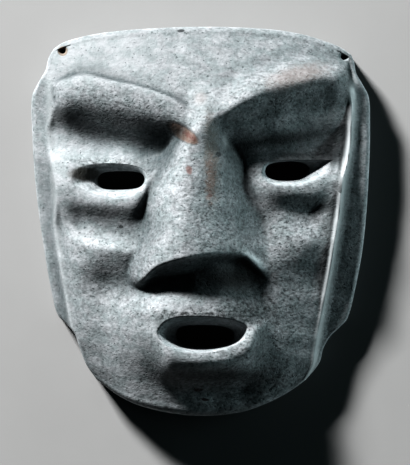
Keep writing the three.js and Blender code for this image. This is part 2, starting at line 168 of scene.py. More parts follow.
# The outline
@dataclass(frozen=True)
class Outline:
    """The mask's outline: two sides running up, chin and top edge running right."""

    left_side: Line = (
        (-75.6, -49.6), (-68, -54.8), (-60.3, -57.7), (-53.5, -60.2), (-49.6, -63.6),
        (-45, -68.2), (-37.4, -70.6), (-18, -74.2), (16, -78.8), (48, -80.8), (60, -80.6),
        (66, -77.8), (72, -74.3), (78, -72.8), (82.6, -70.4),
    )
    right_side: Line = (
        (-75.6, 50.3), (-68, 56.5), (-60.3, 58.9), (-54.5, 62.4), (-50.5, 66.6),
        (-46.5, 70.2), (-33.6, 73.7), (-9, 78), (26, 80.5), (50, 80.9), (60, 80.2),
        (66, 77), (71, 74.2), (76, 73.3), (79.9, 71.8),
    )
    chin: Line = (
        (-49.6, -75.6), (-44.3, -79.5), (-38.6, -83.3), (-29, -87.6), (-15, -91),
        (2, -92.6), (19.2, -90.9), (31.2, -86.9), (38.8, -83.3), (45, -79.5), (50.3, -75.6),
    )
    top_edge: Line = (
        (-70.4, 82.6), (-66.3, 85.4), (-60.6, 87.3), (-49, 89.7), (-30, 91.5),
        (0, 92.6), (31, 91.7), (48.4, 89.3), (60, 85.9), (67, 83.2), (71.8, 79.9),
    )

    def place(self, across: Array, upward: Array) -> tuple[Array, Array]:
        """Places on the sheet that the outline bounds.

        x is mixed between the two sides, each at its own height, by across. y is
        mixed between the chin and the top edge, each at its own place, by upward.

        Args:
            across: Shares of the way from the left side, 0, to the right side, 1.
            upward: Shares of the way from the chin, 0, to the top edge, 1.

        Returns:
            x and y, each shaped as across is.
        """
        def between(line: Line, share: Array) -> Array:
            """Places a share of the way from a line's first to its last."""
            return line[0][0] + (line[-1][0] - line[0][0]) * share

        x = (1 - across) * along(self.left_side, between(self.left_side, upward)) \
            + across * along(self.right_side, between(self.right_side, upward))
        y = (1 - upward) * along(self.chin, between(self.chin, across)) \
            + upward * along(self.top_edge, between(self.top_edge, across))
        return x, y


# The relief of the face
@dataclass(frozen=True)
class Fade:
    """How a depth lessens at the face's edge: it is full a width inside of start, falls
    to share at start, and to nothing a reach beyond the edge."""

    share: float
    width: float
    reach: float
    start: float = 0.0

    def at(self, inward: Array) -> Array:
        """The factor at places that lie so far inside the face's edge."""
        return rising(self.share, past(inward, self.start, self.width)) \
            * ease(inward / self.reach + 1)


@dataclass(frozen=True)
class Steps:
    """The steps down one half of the face, from the brow's upper edge to the cheekbone.

    The lines say where its height turns, as y for a place x, and the rises and depths
    how far it then stands over or under the plain face. Beside the nose the lid and its
    groove begin over nose_width, at nose_share of the socket's depth. The brow is
    inner_brow high there and brow_round rounder, and the cheek inner_cheek deeper.
    """

    brow_top: Line
    brow_crest: Line
    socket: Line
    lid_crest: Line
    lid_groove: Line
    cheek: Line
    brow_rise: float
    socket_depth: float
    lid_depth: float
    groove_depth: float
    cheek_depth: float
    socket_fade: Fade
    groove_fade: Fade
    cheek_fade: Fade
    nose_width: float
    cheek_length: float
    brow_waist: Line = ()
    nose_share: float = 1.0
    inner_brow: float = 1.0
    inner_cheek: float = 0.0
    brow_round: float = 0.0


LEFT_STEPS = Steps(
    brow_top=((-76, 62), (-67, 68), (-60, 70.6), (-53, 71), (-42, 68), (-31, 65.5), (-17, 60.5),
        (-5, 56), (0, 54)),
    brow_crest=((-76, 61), (-67, 65), (-60, 67), (-53, 67.5), (-42, 65.6), (-31, 63.3),
        (-17, 59), (-5, 51), (0, 47)),
    socket=((-76, 42), (-68, 40.5), (-62, 39.6), (-53, 37.6), (-42, 34.6), (-31, 32.6),
        (-17, 32.3), (0, 32)),
    lid_crest=((-76, 17), (-62, 14), (-53, 10), (-42, 8.5), (-31, 10.4), (-25, 16), (-21, 24),
        (-17, 29), (0, 29)),
    lid_groove=((-76, 6), (-62, 1.3), (-53, -1), (-42, -4.4), (-33, -4), (-27, 3), (-23, 11),
        (-20, 21), (-17, 26), (0, 27)),
    cheek=((-76, -8), (-62, -10), (-53, -13), (-42, -14), (-33, -16), (-27, -14), (-17, -5),
        (0, 10)),
    brow_rise=6.0, socket_depth=14.3, lid_depth=1.8, groove_depth=6.5, cheek_depth=1.5,
    socket_fade=Fade(0.5, 24, 40), groove_fade=Fade(0, 10, 40, 1), cheek_fade=Fade(0, 10, 40, 1),
    nose_width=8, cheek_length=26, nose_share=0.45, inner_brow=0.6, inner_cheek=2.0,
    brow_round=1.0,
)
RIGHT_STEPS = Steps(
    brow_top=((0, 54), (11.6, 65), (21, 71.5), (33, 75), (42.7, 78.5), (52, 79.5), (62, 79),
        (76, 76)),
    brow_crest=((0, 46), (11.6, 52), (21, 57.5), (33, 63), (42.7, 65.3), (52, 67.3), (62, 69),
        (76, 69)),
    brow_waist=((0, 40), (10, 42), (21, 45.5), (33, 50), (42.7, 52), (52, 55.5), (62, 55),
        (76, 52)),
    socket=((0, 33), (17, 30), (25, 29.5), (32, 30), (40, 31), (49, 31.5), (57.5, 31.5),
        (64, 31), (76, 31)),
    lid_crest=((0, 29), (15, 28), (20, 22), (27, 18), (33, 17), (42.7, 15.2), (52, 15.2),
        (61.8, 17.6), (70, 20), (76, 22)),
    lid_groove=((0, 27), (15, 25), (18, 20), (21, 13), (27, 6), (33, 3.5), (42.7, 3.8),
        (52, 3.8), (61.8, 4.5), (70, 6), (76, 7)),
    cheek=((0, 10), (17, -4), (27, -12), (33, -13), (42.7, -14), (52, -12.5), (61.8, -10),
        (76, -8)),
    brow_rise=7.0, socket_depth=12.0, lid_depth=6.0, groove_depth=11.0, cheek_depth=7.0,
    socket_fade=Fade(0.85, 6, 4), groove_fade=Fade(0.65, 12, 4), cheek_fade=Fade(0.85, 6, 4),
    nose_width=18, cheek_length=42,
)


@dataclass(frozen=True)
class Nose:
    """The long nose: its two feet and its crest, x for a height y, its ridge, z for a
    height y, and its lower edge, y for a place x."""

    left: Line = ((-40, -28), (-34, -32), (-30, -35), (-25.5, -36.5), (-13.5, -31.5), (-4, -26.5),
        (10, -24.5), (20, -21), (34, -14.5), (44, -11), (54, -9))
    right: Line = ((-40, 38), (-25, 35), (-13.5, 31), (-4, 27.5), (10, 24), (20, 20.5), (34, 16),
        (44, 13), (50, 16), (58, 24))
    crest: Line = ((-40, -9), (-15, -8.5), (0, -7), (10, -5), (22, -4.5), (34, -5), (44, 0),
        (50, 3), (62, 4))
    ridge: Line = ((-40, 57.5), (-15, 55), (10, 52.5), (34, 49.5), (44, 48.3), (50, 47.1),
        (56, 44.3), (62, 39.9), (66, 36), (92, 9.5))
    left_feet: Line = ((-40, 4), (-25, 5), (-4, 4.5), (10, 2.5), (20, 3), (34, 6), (44, 7),
        (54, 3))
    right_feet: Line = ((-40, 7), (-25, 11), (-4, 12), (10, 12), (20, 12), (34, 11), (44, 7),
        (54, 2))
    lower_edge: Line = ((-45, -36), (-34, -31.5), (-27.6, -27.4), (-21.9, -21.9), (-17.1, -19.4),
        (-7.5, -16.9), (2, -15.4), (11.6, -14.9), (20.2, -16), (24, -18.8), (28.8, -24),
        (32.6, -28.5), (36, -33), (50, -48))
    underside_slope: float = 1.8
    edge_round: float = 1.2
    foot_limit: float = 1.6
    left_power: float = 2.0
    right_power: float = 1.55
    bridge_power: float = 0.65

    def top(self, x: Array, y: Array, foot: Array) -> Array:
        """Height of the nose without its underside.

        It falls from the crest to the foot as a power of the share of the way out, a
        flatter one on the right, below the bridge.

        Args:
            x: Places across the face.
            y: Places up the face.
            foot: Height of the nose's foot there.

        Returns:
            The heights.
        """
        crest = along(self.crest, y)
        on_left = x < crest
        edge = np.where(on_left, along(self.left, y), along(self.right, y))
        offset = np.minimum((x - crest) / (edge - crest), self.foot_limit)
        rise = along(self.ridge, y) - foot
        power = self.right_power + self.bridge_power * past(y, 10, 24)
        drop = offset ** np.where(on_left, self.left_power, power)
        return foot + np.where(rise > 0, rise * (1 - drop), rise)

    def height(self, x: Array, y: Array, plain: Array) -> Array:
        """Height of the nose, cut off below by its steep underside.

        The underside falls at one slope from the nose's lower edge.

        Args:
            x: Places across the face.
            y: Places up the face.
            plain: Height of the uncarved face there.

        Returns:
            The heights.
        """
        foot = plain - np.where(x < along(self.crest, y), along(self.left_feet, y),
                                along(self.right_feet, y))
        edge_y = along(self.lower_edge, x)
        underside = self.top(x, edge_y, foot) + self.underside_slope * (y - edge_y)
        return blend_down(self.top(x, y, foot), underside, self.edge_round)


@dataclass(frozen=True)
class EarStrips:
    """The flat strips at both sides, set back from the face along its two edges: the
    edges, x for a height y, and the strips' own height z for a height y."""

    left_edge: Line = ((-92, -40), (-70, -53.5), (-60, -57), (-51.7, -59.2), (-32.6, -62.5),
        (-9, -66.2), (15, -68), (39, -69.4), (65, -70.8), (92, -73))
    right_edge: Line = ((-92, 36.4), (-70, 51.4), (-60, 53.4), (-51.7, 54.9), (-32.6, 58),
        (-9, 62), (15, 65.4), (39, 69), (65, 70.9), (92, 71.4))
    level: Line = ((-92, 10.5), (-70, 11), (-50, 12.5), (-30, 14.5), (0, 17), (30, 18.5),
        (55, 17.5), (80, 16.5))
    left_fall: float = 0.38
    right_fall: float = 0.22
    wall_width: float = 6.2
    flat_from: float = 4.0
    left_top: Pair = (84.0, 30.0)
    right_top: Pair = (74.0, 16.0)

    def inward(self, x: Array, y: Array) -> Array:
        """How far a place lies inside the nearer edge of the face."""
        return np.where(x < 0, x - along(self.left_edge, y), along(self.right_edge, y) - x)

    def held(self, x: Array, y: Array) -> Array:
        """The place x, or the face's edge for a place beyond it."""
        return np.clip(x, along(self.left_edge, y), along(self.right_edge, y))

    def height(self, x: Array, y: Array, plain: Array) -> Array:
        """Height of the wall and the strip beyond the face's edge.

        The wall falls steeply at the edge and flattens as a square into the strip. Both
        run out softly into the plain face below each strip's top.

        Args:
            x: Places across the face.
            y: Places up the face.
            plain: Height of the uncarved face there.

        Returns:
            The heights.
        """
        inward = self.inward(x, y)
        part = np.clip(-inward / self.wall_width, 0, 1)
        (left_end, left_length), (right_end, right_length) = self.left_top, self.right_top
        below_top = ease(np.where(x < 0, (left_end - y) / left_length,
                                  (right_end - y) / right_length))
        wall = (1 - (1 - part) ** 2) * below_top
        fall = np.where(x < 0, self.left_fall, self.right_fall)
        level = along(self.level, y) - fall * np.maximum(0, -inward - self.flat_from)
        return plain + (level - plain) * wall


@dataclass(frozen=True)
class Relief:
    """The carved front as a height over the plane of the back rim."""

    nose: Nose = Nose()
    strips: EarStrips = EarStrips()
    crown: float = 43.5
    side_fall: float = 0.0031
    length_fall: float = 0.0009
    jaw_setback: float = 9.0
    chin_start: float = -62.0
    chin_length: float = 26.0
    chin_fall: float = 8.0
    forehead_start: float = 38.0
    forehead_length: float = 54.0
    forehead_fall: float = 11.0
    left_shoulder: float = 8.0
    right_shoulder: float = 2.0
    shoulder_width: float = 15.0
    muzzle: float = 13.0
    lip_rise: float = 6.8
    lip_half: float = 9.2
    lip_shift: float = 1.9
    fold_depth: float = 3.0
    strip_lift: float = 0.3
    strip_round: float = 0.5
    unevenness: float = 0.14
    seed: int = 17
    lower_lip: Line = ((-34, -46), (-26, -53), (-18, -62), (-8, -66.4), (4, -67.5), (16, -65),
        (25, -57), (31, -48))

    def plain(self, x: Array, y: Array) -> Array:
        """The curved face that everything is carved from.

        It falls off as a square to the sides and the ends, steps back softly below the
        cheekbones, and falls faster over the forehead and over the chin, there mostly
        right of the middle.

        Args:
            x: Places across the face.
            y: Places up the face.

        Returns:
            The heights.
        """
        chin = np.maximum(0, self.chin_start - y) / self.chin_length
        forehead = np.maximum(0, y - self.forehead_start) / self.forehead_length
        chin_share = 0.15 + 0.65 * past(x, -25, 40)
        jaw_share = past(x, -66, 22) + 0.35 * past(x, 0, 55)
        right = past(x, 22, 16)
        jaw = jaw_share * ease((4 * right - 11 - y) / (25 + 20 * right))
        return (self.crown - self.side_fall * x**2 - self.length_fall * (y - 5) ** 2
                - self.jaw_setback * jaw - self.chin_fall * chin_share * chin**2
                - self.forehead_fall * forehead**1.7)

    def shoulders(self, x: Array, y: Array, inward: Array) -> Array:
        """How far the face falls to its edges below the eyes, as a square of nearness."""
        near = np.clip(1 - inward / self.shoulder_width, 0, 1) ** 2 * past(-y, -16, 20)
        return np.where(x < 0, self.left_shoulder, self.right_shoulder) * near

    def eyes(self, x: Array, y: Array, inward: Array) -> Array:
        """Brows, sockets, lids and cheekbones of both halves."""
        return np.where(x < 0, self.half(LEFT_STEPS, x, y, inward),
                        self.half(RIGHT_STEPS, x, y, inward))

    def half(self, steps: Steps, x: Array, y: Array, inward: Array) -> Array:
        """The soft steps of one half of the face.

        From line to line down the face the height changes in soft steps. The brow
        rises as a power of a sine, and every other step is half a cosine, in two
        straighter ones that meet at the brow's waist where it has one. All of it fades
        at the bridge of the nose and at the edge of the face.

        Args:
            steps: The half's lines and depths.
            x: Places across the face.
            y: Places up the face.
            inward: How far each place lies inside the edge of the face.

        Returns:
            Heights to add to the plain face.
        """
        def passed(start: Array, end: Array, round_share: float = 1.0) -> Array:
            """How far y is on its way from start down to end, partly as half a cosine."""
            part = np.clip((start - y) / (start - end), 0, 1)
            return part + round_share * (0.5 - 0.5 * np.cos(np.pi * part) - part)

        top, crest, socket, lid, groove, cheek = (along(line, x) for line in (
            steps.brow_top, steps.brow_crest, steps.socket, steps.lid_crest,
            steps.lid_groove, steps.cheek))
        from_middle = np.abs(x)
        off_bridge = past(from_middle, 1, 16)
        off_nose = past(from_middle, 19, steps.nose_width)
        brow = steps.brow_rise * rising(0.5, past(inward, 0, 7)) \
            * rising(0.5, past(from_middle, 0, 18)) \
            * rising(steps.inner_brow, past(from_middle, 22, 32))
        at_edge = steps.socket_fade.at(inward)
        socket_depth = steps.socket_depth * off_bridge * at_edge
        by_nose = socket_depth * steps.nose_share
        lid_depth = by_nose + (steps.lid_depth * at_edge - by_nose) * off_nose
        groove_depth = by_nose + (steps.groove_depth * steps.groove_fade.at(inward)
                                  - by_nose) * off_nose
        cheek_depth = off_bridge * (steps.cheek_depth * steps.cheek_fade.at(inward)
                                    + steps.inner_cheek * past(-from_middle, -40, 12))

        up = np.clip((top - y) / (top - crest), 0, 1)
        power = 0.95 + steps.brow_round * past(-from_middle, -60, 24)
        height = brow * np.sin(up * np.pi / 2) ** power
        if steps.brow_waist:
            waist = along(steps.brow_waist, x)
            fall = 0.5 * (passed(crest, waist, 0.5) + passed(waist, socket, 0.5))
        else:
            part = np.clip((crest - y) / (crest - socket), 0, 1) ** 1.3
            fall = 0.5 - 0.5 * np.cos(np.pi * part)
        height = height - (brow + socket_depth) * fall
        depths = (socket_depth, lid_depth, groove_depth, cheek_depth, 0.0)
        lines = (socket, lid, groove, cheek, cheek - steps.cheek_length)
        for step in range(4):
            height = height + (depths[step] - depths[step + 1]) \
                * passed(lines[step], lines[step + 1])
        return height

    def cheeks_and_mouth(self, x: Array, y: Array) -> Array:
        """The hollows under the cheekbones, the muzzle, the lower lip and the dip
        beneath it, as mounds and one ridge along the lip's line.

        Args:
            x: Places across the face.
            y: Places up the face.

        Returns:
            Heights to add to the plain face.
        """
        hollows = 1.7 * mound(x, y, (-42, -30), (13, 8.5)) + 1.6 * mound(x, y, (52, -26), (10, 10))
        muzzle = self.muzzle * mound(x, y, (-5, -50), (34, 24), 1.4)
        under_lip = 5 * mound(x, y, (9, -78), (19, 7))
        lip_ends = past(x, -26, 12) * past(-x, -32, 9) * past(-y, 45, 6)
        away = np.abs(y + self.lip_shift - along(self.lower_lip, x)) / self.lip_half
        lip = self.lip_rise * np.exp(-(away**2.6)) * lip_ends
        lid_end = 1.5 * mound(x, y, (-29, 9), (6, 11))
        return muzzle - hollows - under_lip - self.fold(x, y) + lip + lid_end

    def fold(self, x: Array, y: Array) -> Array:
        """The fold between the nose and the right cheek, out at the eye and the mouth."""
        across = bell(x - along(self.nose.right, y), 2, 8)
        return self.fold_depth * across * past(-y, -8, 14) * past(y, -22, 14)

    def carved(self, x: Array, y: Array) -> Array:
        """The whole face, with the ear strips set back from its edges.

        The nose is joined to the face by a round that is wider on the right and beside
        the left eye, and a small mound makes the lip of the nose's right wing.

        Args:
            x: Places across the face.
            y: Places up the face.

        Returns:
            The heights.
        """
        inward = self.strips.inward(x, y)
        plain = self.plain(self.strips.held(x, y), y)
        body = plain + self.eyes(x, y, inward) + self.cheeks_and_mouth(x, y) \
            - self.shoulders(x, y, inward)
        round_width = 3 + 3 * past(x, 10, 10) + 4 * mound(x, y, (-22, 12), (7, 14))
        face = blend_up(body, self.nose.height(x, y, plain), round_width)
        face = face + 1.2 * mound(x, y, (25.5, -19), (7, 3), 1.2, -42)
        strip = self.strips.height(x, y, plain) + self.strip_lift
        beyond = blend_down(face, strip, self.strip_round)
        return np.where(inward > 1, face, beyond)

    def height(self, x: Array, y: Array) -> Array:
        """The worn face: the carved one, evened out a little and softly uneven by hand.

        Args:
            x: Places across the face.
            y: Places up the face.

        Returns:
            The heights: the mean of the place, twice, and four places around it.
        """
        reach = 0.5
        around = sum(self.carved(x + dx * reach, y + dy * reach)
                     for dx, dy in ((-1, 0), (1, 0), (0, -1), (0, 1)))
        even = (around + 2 * self.carved(x, y)) / 6
        return even + hand_waves(x, y, self.unevenness, self.seed)


def hand_waves(x: Array, y: Array, height: float, seed: int) -> Array:
    """The uneven surface of hand work: a sum of 14 sine waves, 9 to 34 mm long, in
    directions and phases drawn once from seed.

    Args:
        x: Places across the face.
        y: Places up the face.
        height: Typical height of the waves.
        seed: Which set of waves.

    Returns:
        The heights.
    """
    count = 14
    draw = np.random.default_rng(seed)
    length = draw.uniform(9, 34, count)
    heading = draw.uniform(0, np.pi, count)
    phase = draw.uniform(0, 2 * np.pi, count)
    total = np.zeros_like(x)
    for wave in range(count):
        way = x * np.cos(heading[wave]) + y * np.sin(heading[wave])
        total += np.sin(2 * np.pi * way / length[wave] + phase[wave])
    return height * total / np.sqrt(count / 2)


# The hollow
@dataclass(frozen=True)
class Hollow:
    """The hollow behind: an oval dome, squarer towards the forehead."""

    half_width: float = 66.0
    half_height: float = 80.0
    middle_y: float = 1.0
    depth: float = 27.0
    mouth_depth: float = 5.0
    wear: float = 1.2
    unevenness: float = 0.22
    seed: int = 5
    uneven_from: float = 8.0

    def share(self, x: Array, y: Array) -> Array:
        """How far a place lies from the hollow's middle, 0, to its edge, 1.

        It is the sum of the shares across and up, each raised to a power, rooted by it.

        Args:
            x: Places across the face.
            y: Places up the face.

        Returns:
            The shares of the way, over 1 beyond the edge.
        """
        power = np.where(y > self.middle_y, 3.6, 2.6)
        across = np.abs(x) / self.half_width
        upward = np.abs(y - self.middle_y) / self.half_height
        return (across**power + upward**power) ** (1 / power)

    def dome(self, x: Array, y: Array) -> Array:
        """Height of the dome over the rim, a little higher behind the mouth.

        Args:
            x: Places across the face.
            y: Places up the face.

        Returns:
            The heights, 0 past the dome's edge.
        """
        share = np.minimum(self.share(x, y), 1)
        behind_mouth = self.mouth_depth * mound(x, y, (1, -46), (30, 20)) * (1 - share**4)
        return self.depth * (1 - share**2.4) ** 0.8 + behind_mouth

    def roof(self, x: Array, y: Array) -> Array:
        """The dome with its rim worn round, and softly uneven where it is deep.

        Args:
            x: Places across the face.
            y: Places up the face.

        Returns:
            The heights: the mean of the dome at the place and at eight around it.
        """
        turns = np.arange(8) * np.pi / 4
        around = sum(self.dome(x + self.wear * np.cos(turn), y + self.wear * np.sin(turn))
                     for turn in turns)
        even = (around + self.dome(x, y)) / 9
        uneven = hand_waves(x, y, self.unevenness, self.seed)
        return even + uneven * ease(even / self.uneven_from)


# The openings
@dataclass(frozen=True)
class Opening:
    """An opening cut right through: its rim on the face and the hole in the hollow."""

    name: str
    rim: Line
    hole: Line
    margin: float = 4.2
    soft_above: float = 0.10
    soft_below: float = 0.42
    face_rings: int = 9
    wall_rings: int = 12
    back_rings: int = 5
    back_round: float = 1.1
    waist: float = 0.0
    wall_flat: float = 0.06
    hole_share: float = 0.97
    face_spacing: float = 1.5
    back_spacing: float = 1.6

    def around(self, line: Line, turn: Array) -> Array:
        """Points of a closed line in given directions from its middle.

        Args:
            line: The closed line's points.
            turn: Directions, as angles in a frame scaled to the line's half sizes.

        Returns:
            An array of rows of x and y.
        """
        points = closed_line(line)
        low, high = points.min(0), points.max(0)
        away = (points - (low + high) / 2) / ((high - low) / 2)
        angle = np.arctan2(away[:, 1], away[:, 0])
        return np.stack([np.interp(turn, angle[order], points[order, axis], period=2 * np.pi)
                         for order in [np.argsort(angle)] for axis in (0, 1)], axis=1)

    def box(self) -> tuple[Array, Array]:
        """Lowest and highest corner of the block of grid cells that the rings replace."""
        points = closed_line(self.rim)
        return points.min(0) - self.margin, points.max(0) + self.margin

    def rings(self, front: Array, back: Array, relief: Relief,
              hollow: Hollow) -> list[Array]:
        """The rings of points from the face, through the wall, to the hollow.

        On the face, the rings run in straight lines in plan from the block's border to
        the rim and lie on the relief. In the wall, each point follows a cubic curve
        from the rim to the hole, flat at first where the edge is soft and steep where
        it is crisp, and is drawn towards the hole's middle by a half sine times waist,
        so the opening is narrowest at half depth. In the hollow they run out again on
        its roof, over a quarter round.

        Args:
            front: The block's border on the face, as rows of x, y and z, anticlockwise.
            back: The block's border in the hollow, in the same order.
            relief: The carved front.
            hollow: The hollow behind.

        Returns:
            One array of rows of x, y and z for each ring between the two borders.
        """
        border_plan = front[:, :2]
        low, high = border_plan.min(0), border_plan.max(0)
        away = (border_plan - (low + high) / 2) / ((high - low) / 2)
        turn = np.arctan2(away[:, 1], away[:, 0])
        rim, hole = self.around(self.rim, turn), self.around(self.hole, turn)
        made = []
        for step in range(1, self.face_rings + 1):
            share = 1 - (1 - step / self.face_rings) ** self.face_spacing
            plan = border_plan + (rim - border_plan) * share
            made.append(np.column_stack([plan, relief.height(*plan.T)]))
        start, end = made[-1][:, 2], hollow.roof(*hole.T) + self.back_round
        soft = self.soft_above + (self.soft_below - self.soft_above) * (0.5 - 0.5 * np.sin(turn))
        deep = 0.45 + 0.2 * soft
        for step in range(1, self.wall_rings + 1):
            part = step / self.wall_rings
            ends = (1 - part) ** 3, 3 * (1 - part) ** 2 * part, 3 * (1 - part) * part**2, part**3
            out = ends[1] * soft + ends[2] * self.hole_share + ends[3]
            down = ends[1] * self.wall_flat + ends[2] * deep + ends[3]
            plan = rim + (hole - rim) * out[:, None]
            plan = plan + (hole.mean(0) - plan) * self.waist * np.sin(np.pi * part)
            made.append(np.column_stack([plan, start + (end - start) * down]))
        for step in range(1, self.back_rings + 1):
            share = (step / (self.back_rings + 1)) ** self.back_spacing
            plan = hole + (back[:, :2] - hole) * share
            distance = np.hypot(*(plan - hole).T) / self.back_round
            lift = self.back_round * (1 - np.sqrt(1 - np.clip(1 - distance, 0, 1) ** 2))
            made.append(np.column_stack([plan, hollow.roof(*plan.T) + lift]))
        return made


def circle(x: float, y: float, radius: float) -> Line:
    """Twelve points of a circle, from its left and clockwise."""
    turns = np.pi - np.arange(12) * np.pi / 6
    return tuple((x + radius * np.cos(turn), y + radius * np.sin(turn)) for turn in turns)


def cord_hole(name: str, x: float, y: float, radius: float) -> Opening:
    """A drilled cord hole, worn wider at its ends than at half depth.

    Args:
        name: What it is called.
        x: Its place across the face.
        y: Its place up the face.
        radius: Half its width on the face.

    Returns:
        The opening.
    """
    wear = 0.35
    return Opening(name, circle(x, y, radius + wear), circle(x, y, radius - wear), margin=1.8,
                   soft_above=0.5, soft_below=0.5, face_rings=4, wall_rings=12, back_rings=3,
                   back_round=0.8, waist=0.55)


LEFT_EYE = Opening(
    "left_eye",
    rim=((-61.8, 19), (-57.7, 25.5), (-50.6, 27.5), (-42.4, 27.8), (-33.8, 27.1), (-27.4, 25),
        (-25, 20.9), (-27.1, 15.2), (-33.3, 11.6), (-42.4, 10.6), (-52, 12.5), (-58.7, 15.9)),
    hole=((-49.1, 20), (-47.9, 22.3), (-45.8, 23.4), (-42.4, 23.9), (-34.8, 24), (-29, 23.2),
        (-26.7, 20.9), (-27.4, 17.8), (-30.5, 15.9), (-37.6, 15.2), (-45.3, 15.5), (-48.2, 17.1)),
)
RIGHT_EYE = Opening(
    "right_eye",
    rim=((28.8, 24.3), (31.2, 27.8), (36.4, 29), (43.6, 29.4), (52.2, 29.4), (58.9, 29.4),
        (63.7, 28.8), (62.3, 24.7), (58, 20.7), (51.3, 17.8), (42.7, 16.1), (34, 17.1),
        (29.3, 20.4)),
    hole=((30.6, 24.1), (32.1, 26.9), (36.4, 28.1), (42.7, 28.6), (46.5, 28.4), (49.4, 27.7),
        (51.7, 25.9), (51.3, 23.8), (49.8, 21.9), (47, 20.2), (41.7, 19.5), (36, 19.7),
        (31.7, 21.4)),
    margin=3.2,
)
MOUTH = Opening(
    "mouth",
    rim=((-20.9, -52.7), (-17.6, -47.4), (-11.4, -44.7), (-2.7, -44.2), (6.8, -44.6),
        (14.9, -45.9), (21.6, -48.9), (23.1, -52.2), (20.2, -56), (13, -59.6), (2, -61.8),
        (-8.5, -61.3), (-16.6, -58.2)),
    hole=((-11.6, -53.8), (-10.4, -51), (-7.1, -49.6), (-2.7, -49.3), (5.4, -49.2),
        (11.6, -50.2), (14.9, -52), (15.8, -54.6), (14.5, -57.2), (10.2, -58.9), (2, -59.9),
        (-6.1, -59.2), (-10.4, -57)),
)


# The stone's wear, and its painted light and shade
@dataclass(frozen=True)
class Patch:
    """A soft oval on the face and how much it adds to a value in its middle."""

    middle: Pair
    half: Pair
    amount: float
    turn: float = 0.0


def patches(*rows: tuple) -> tuple[Patch, ...]:
    """Patches from rows of middle, half sizes, amount and, where turned, degrees."""
    return tuple(Patch(*row) for row in rows)


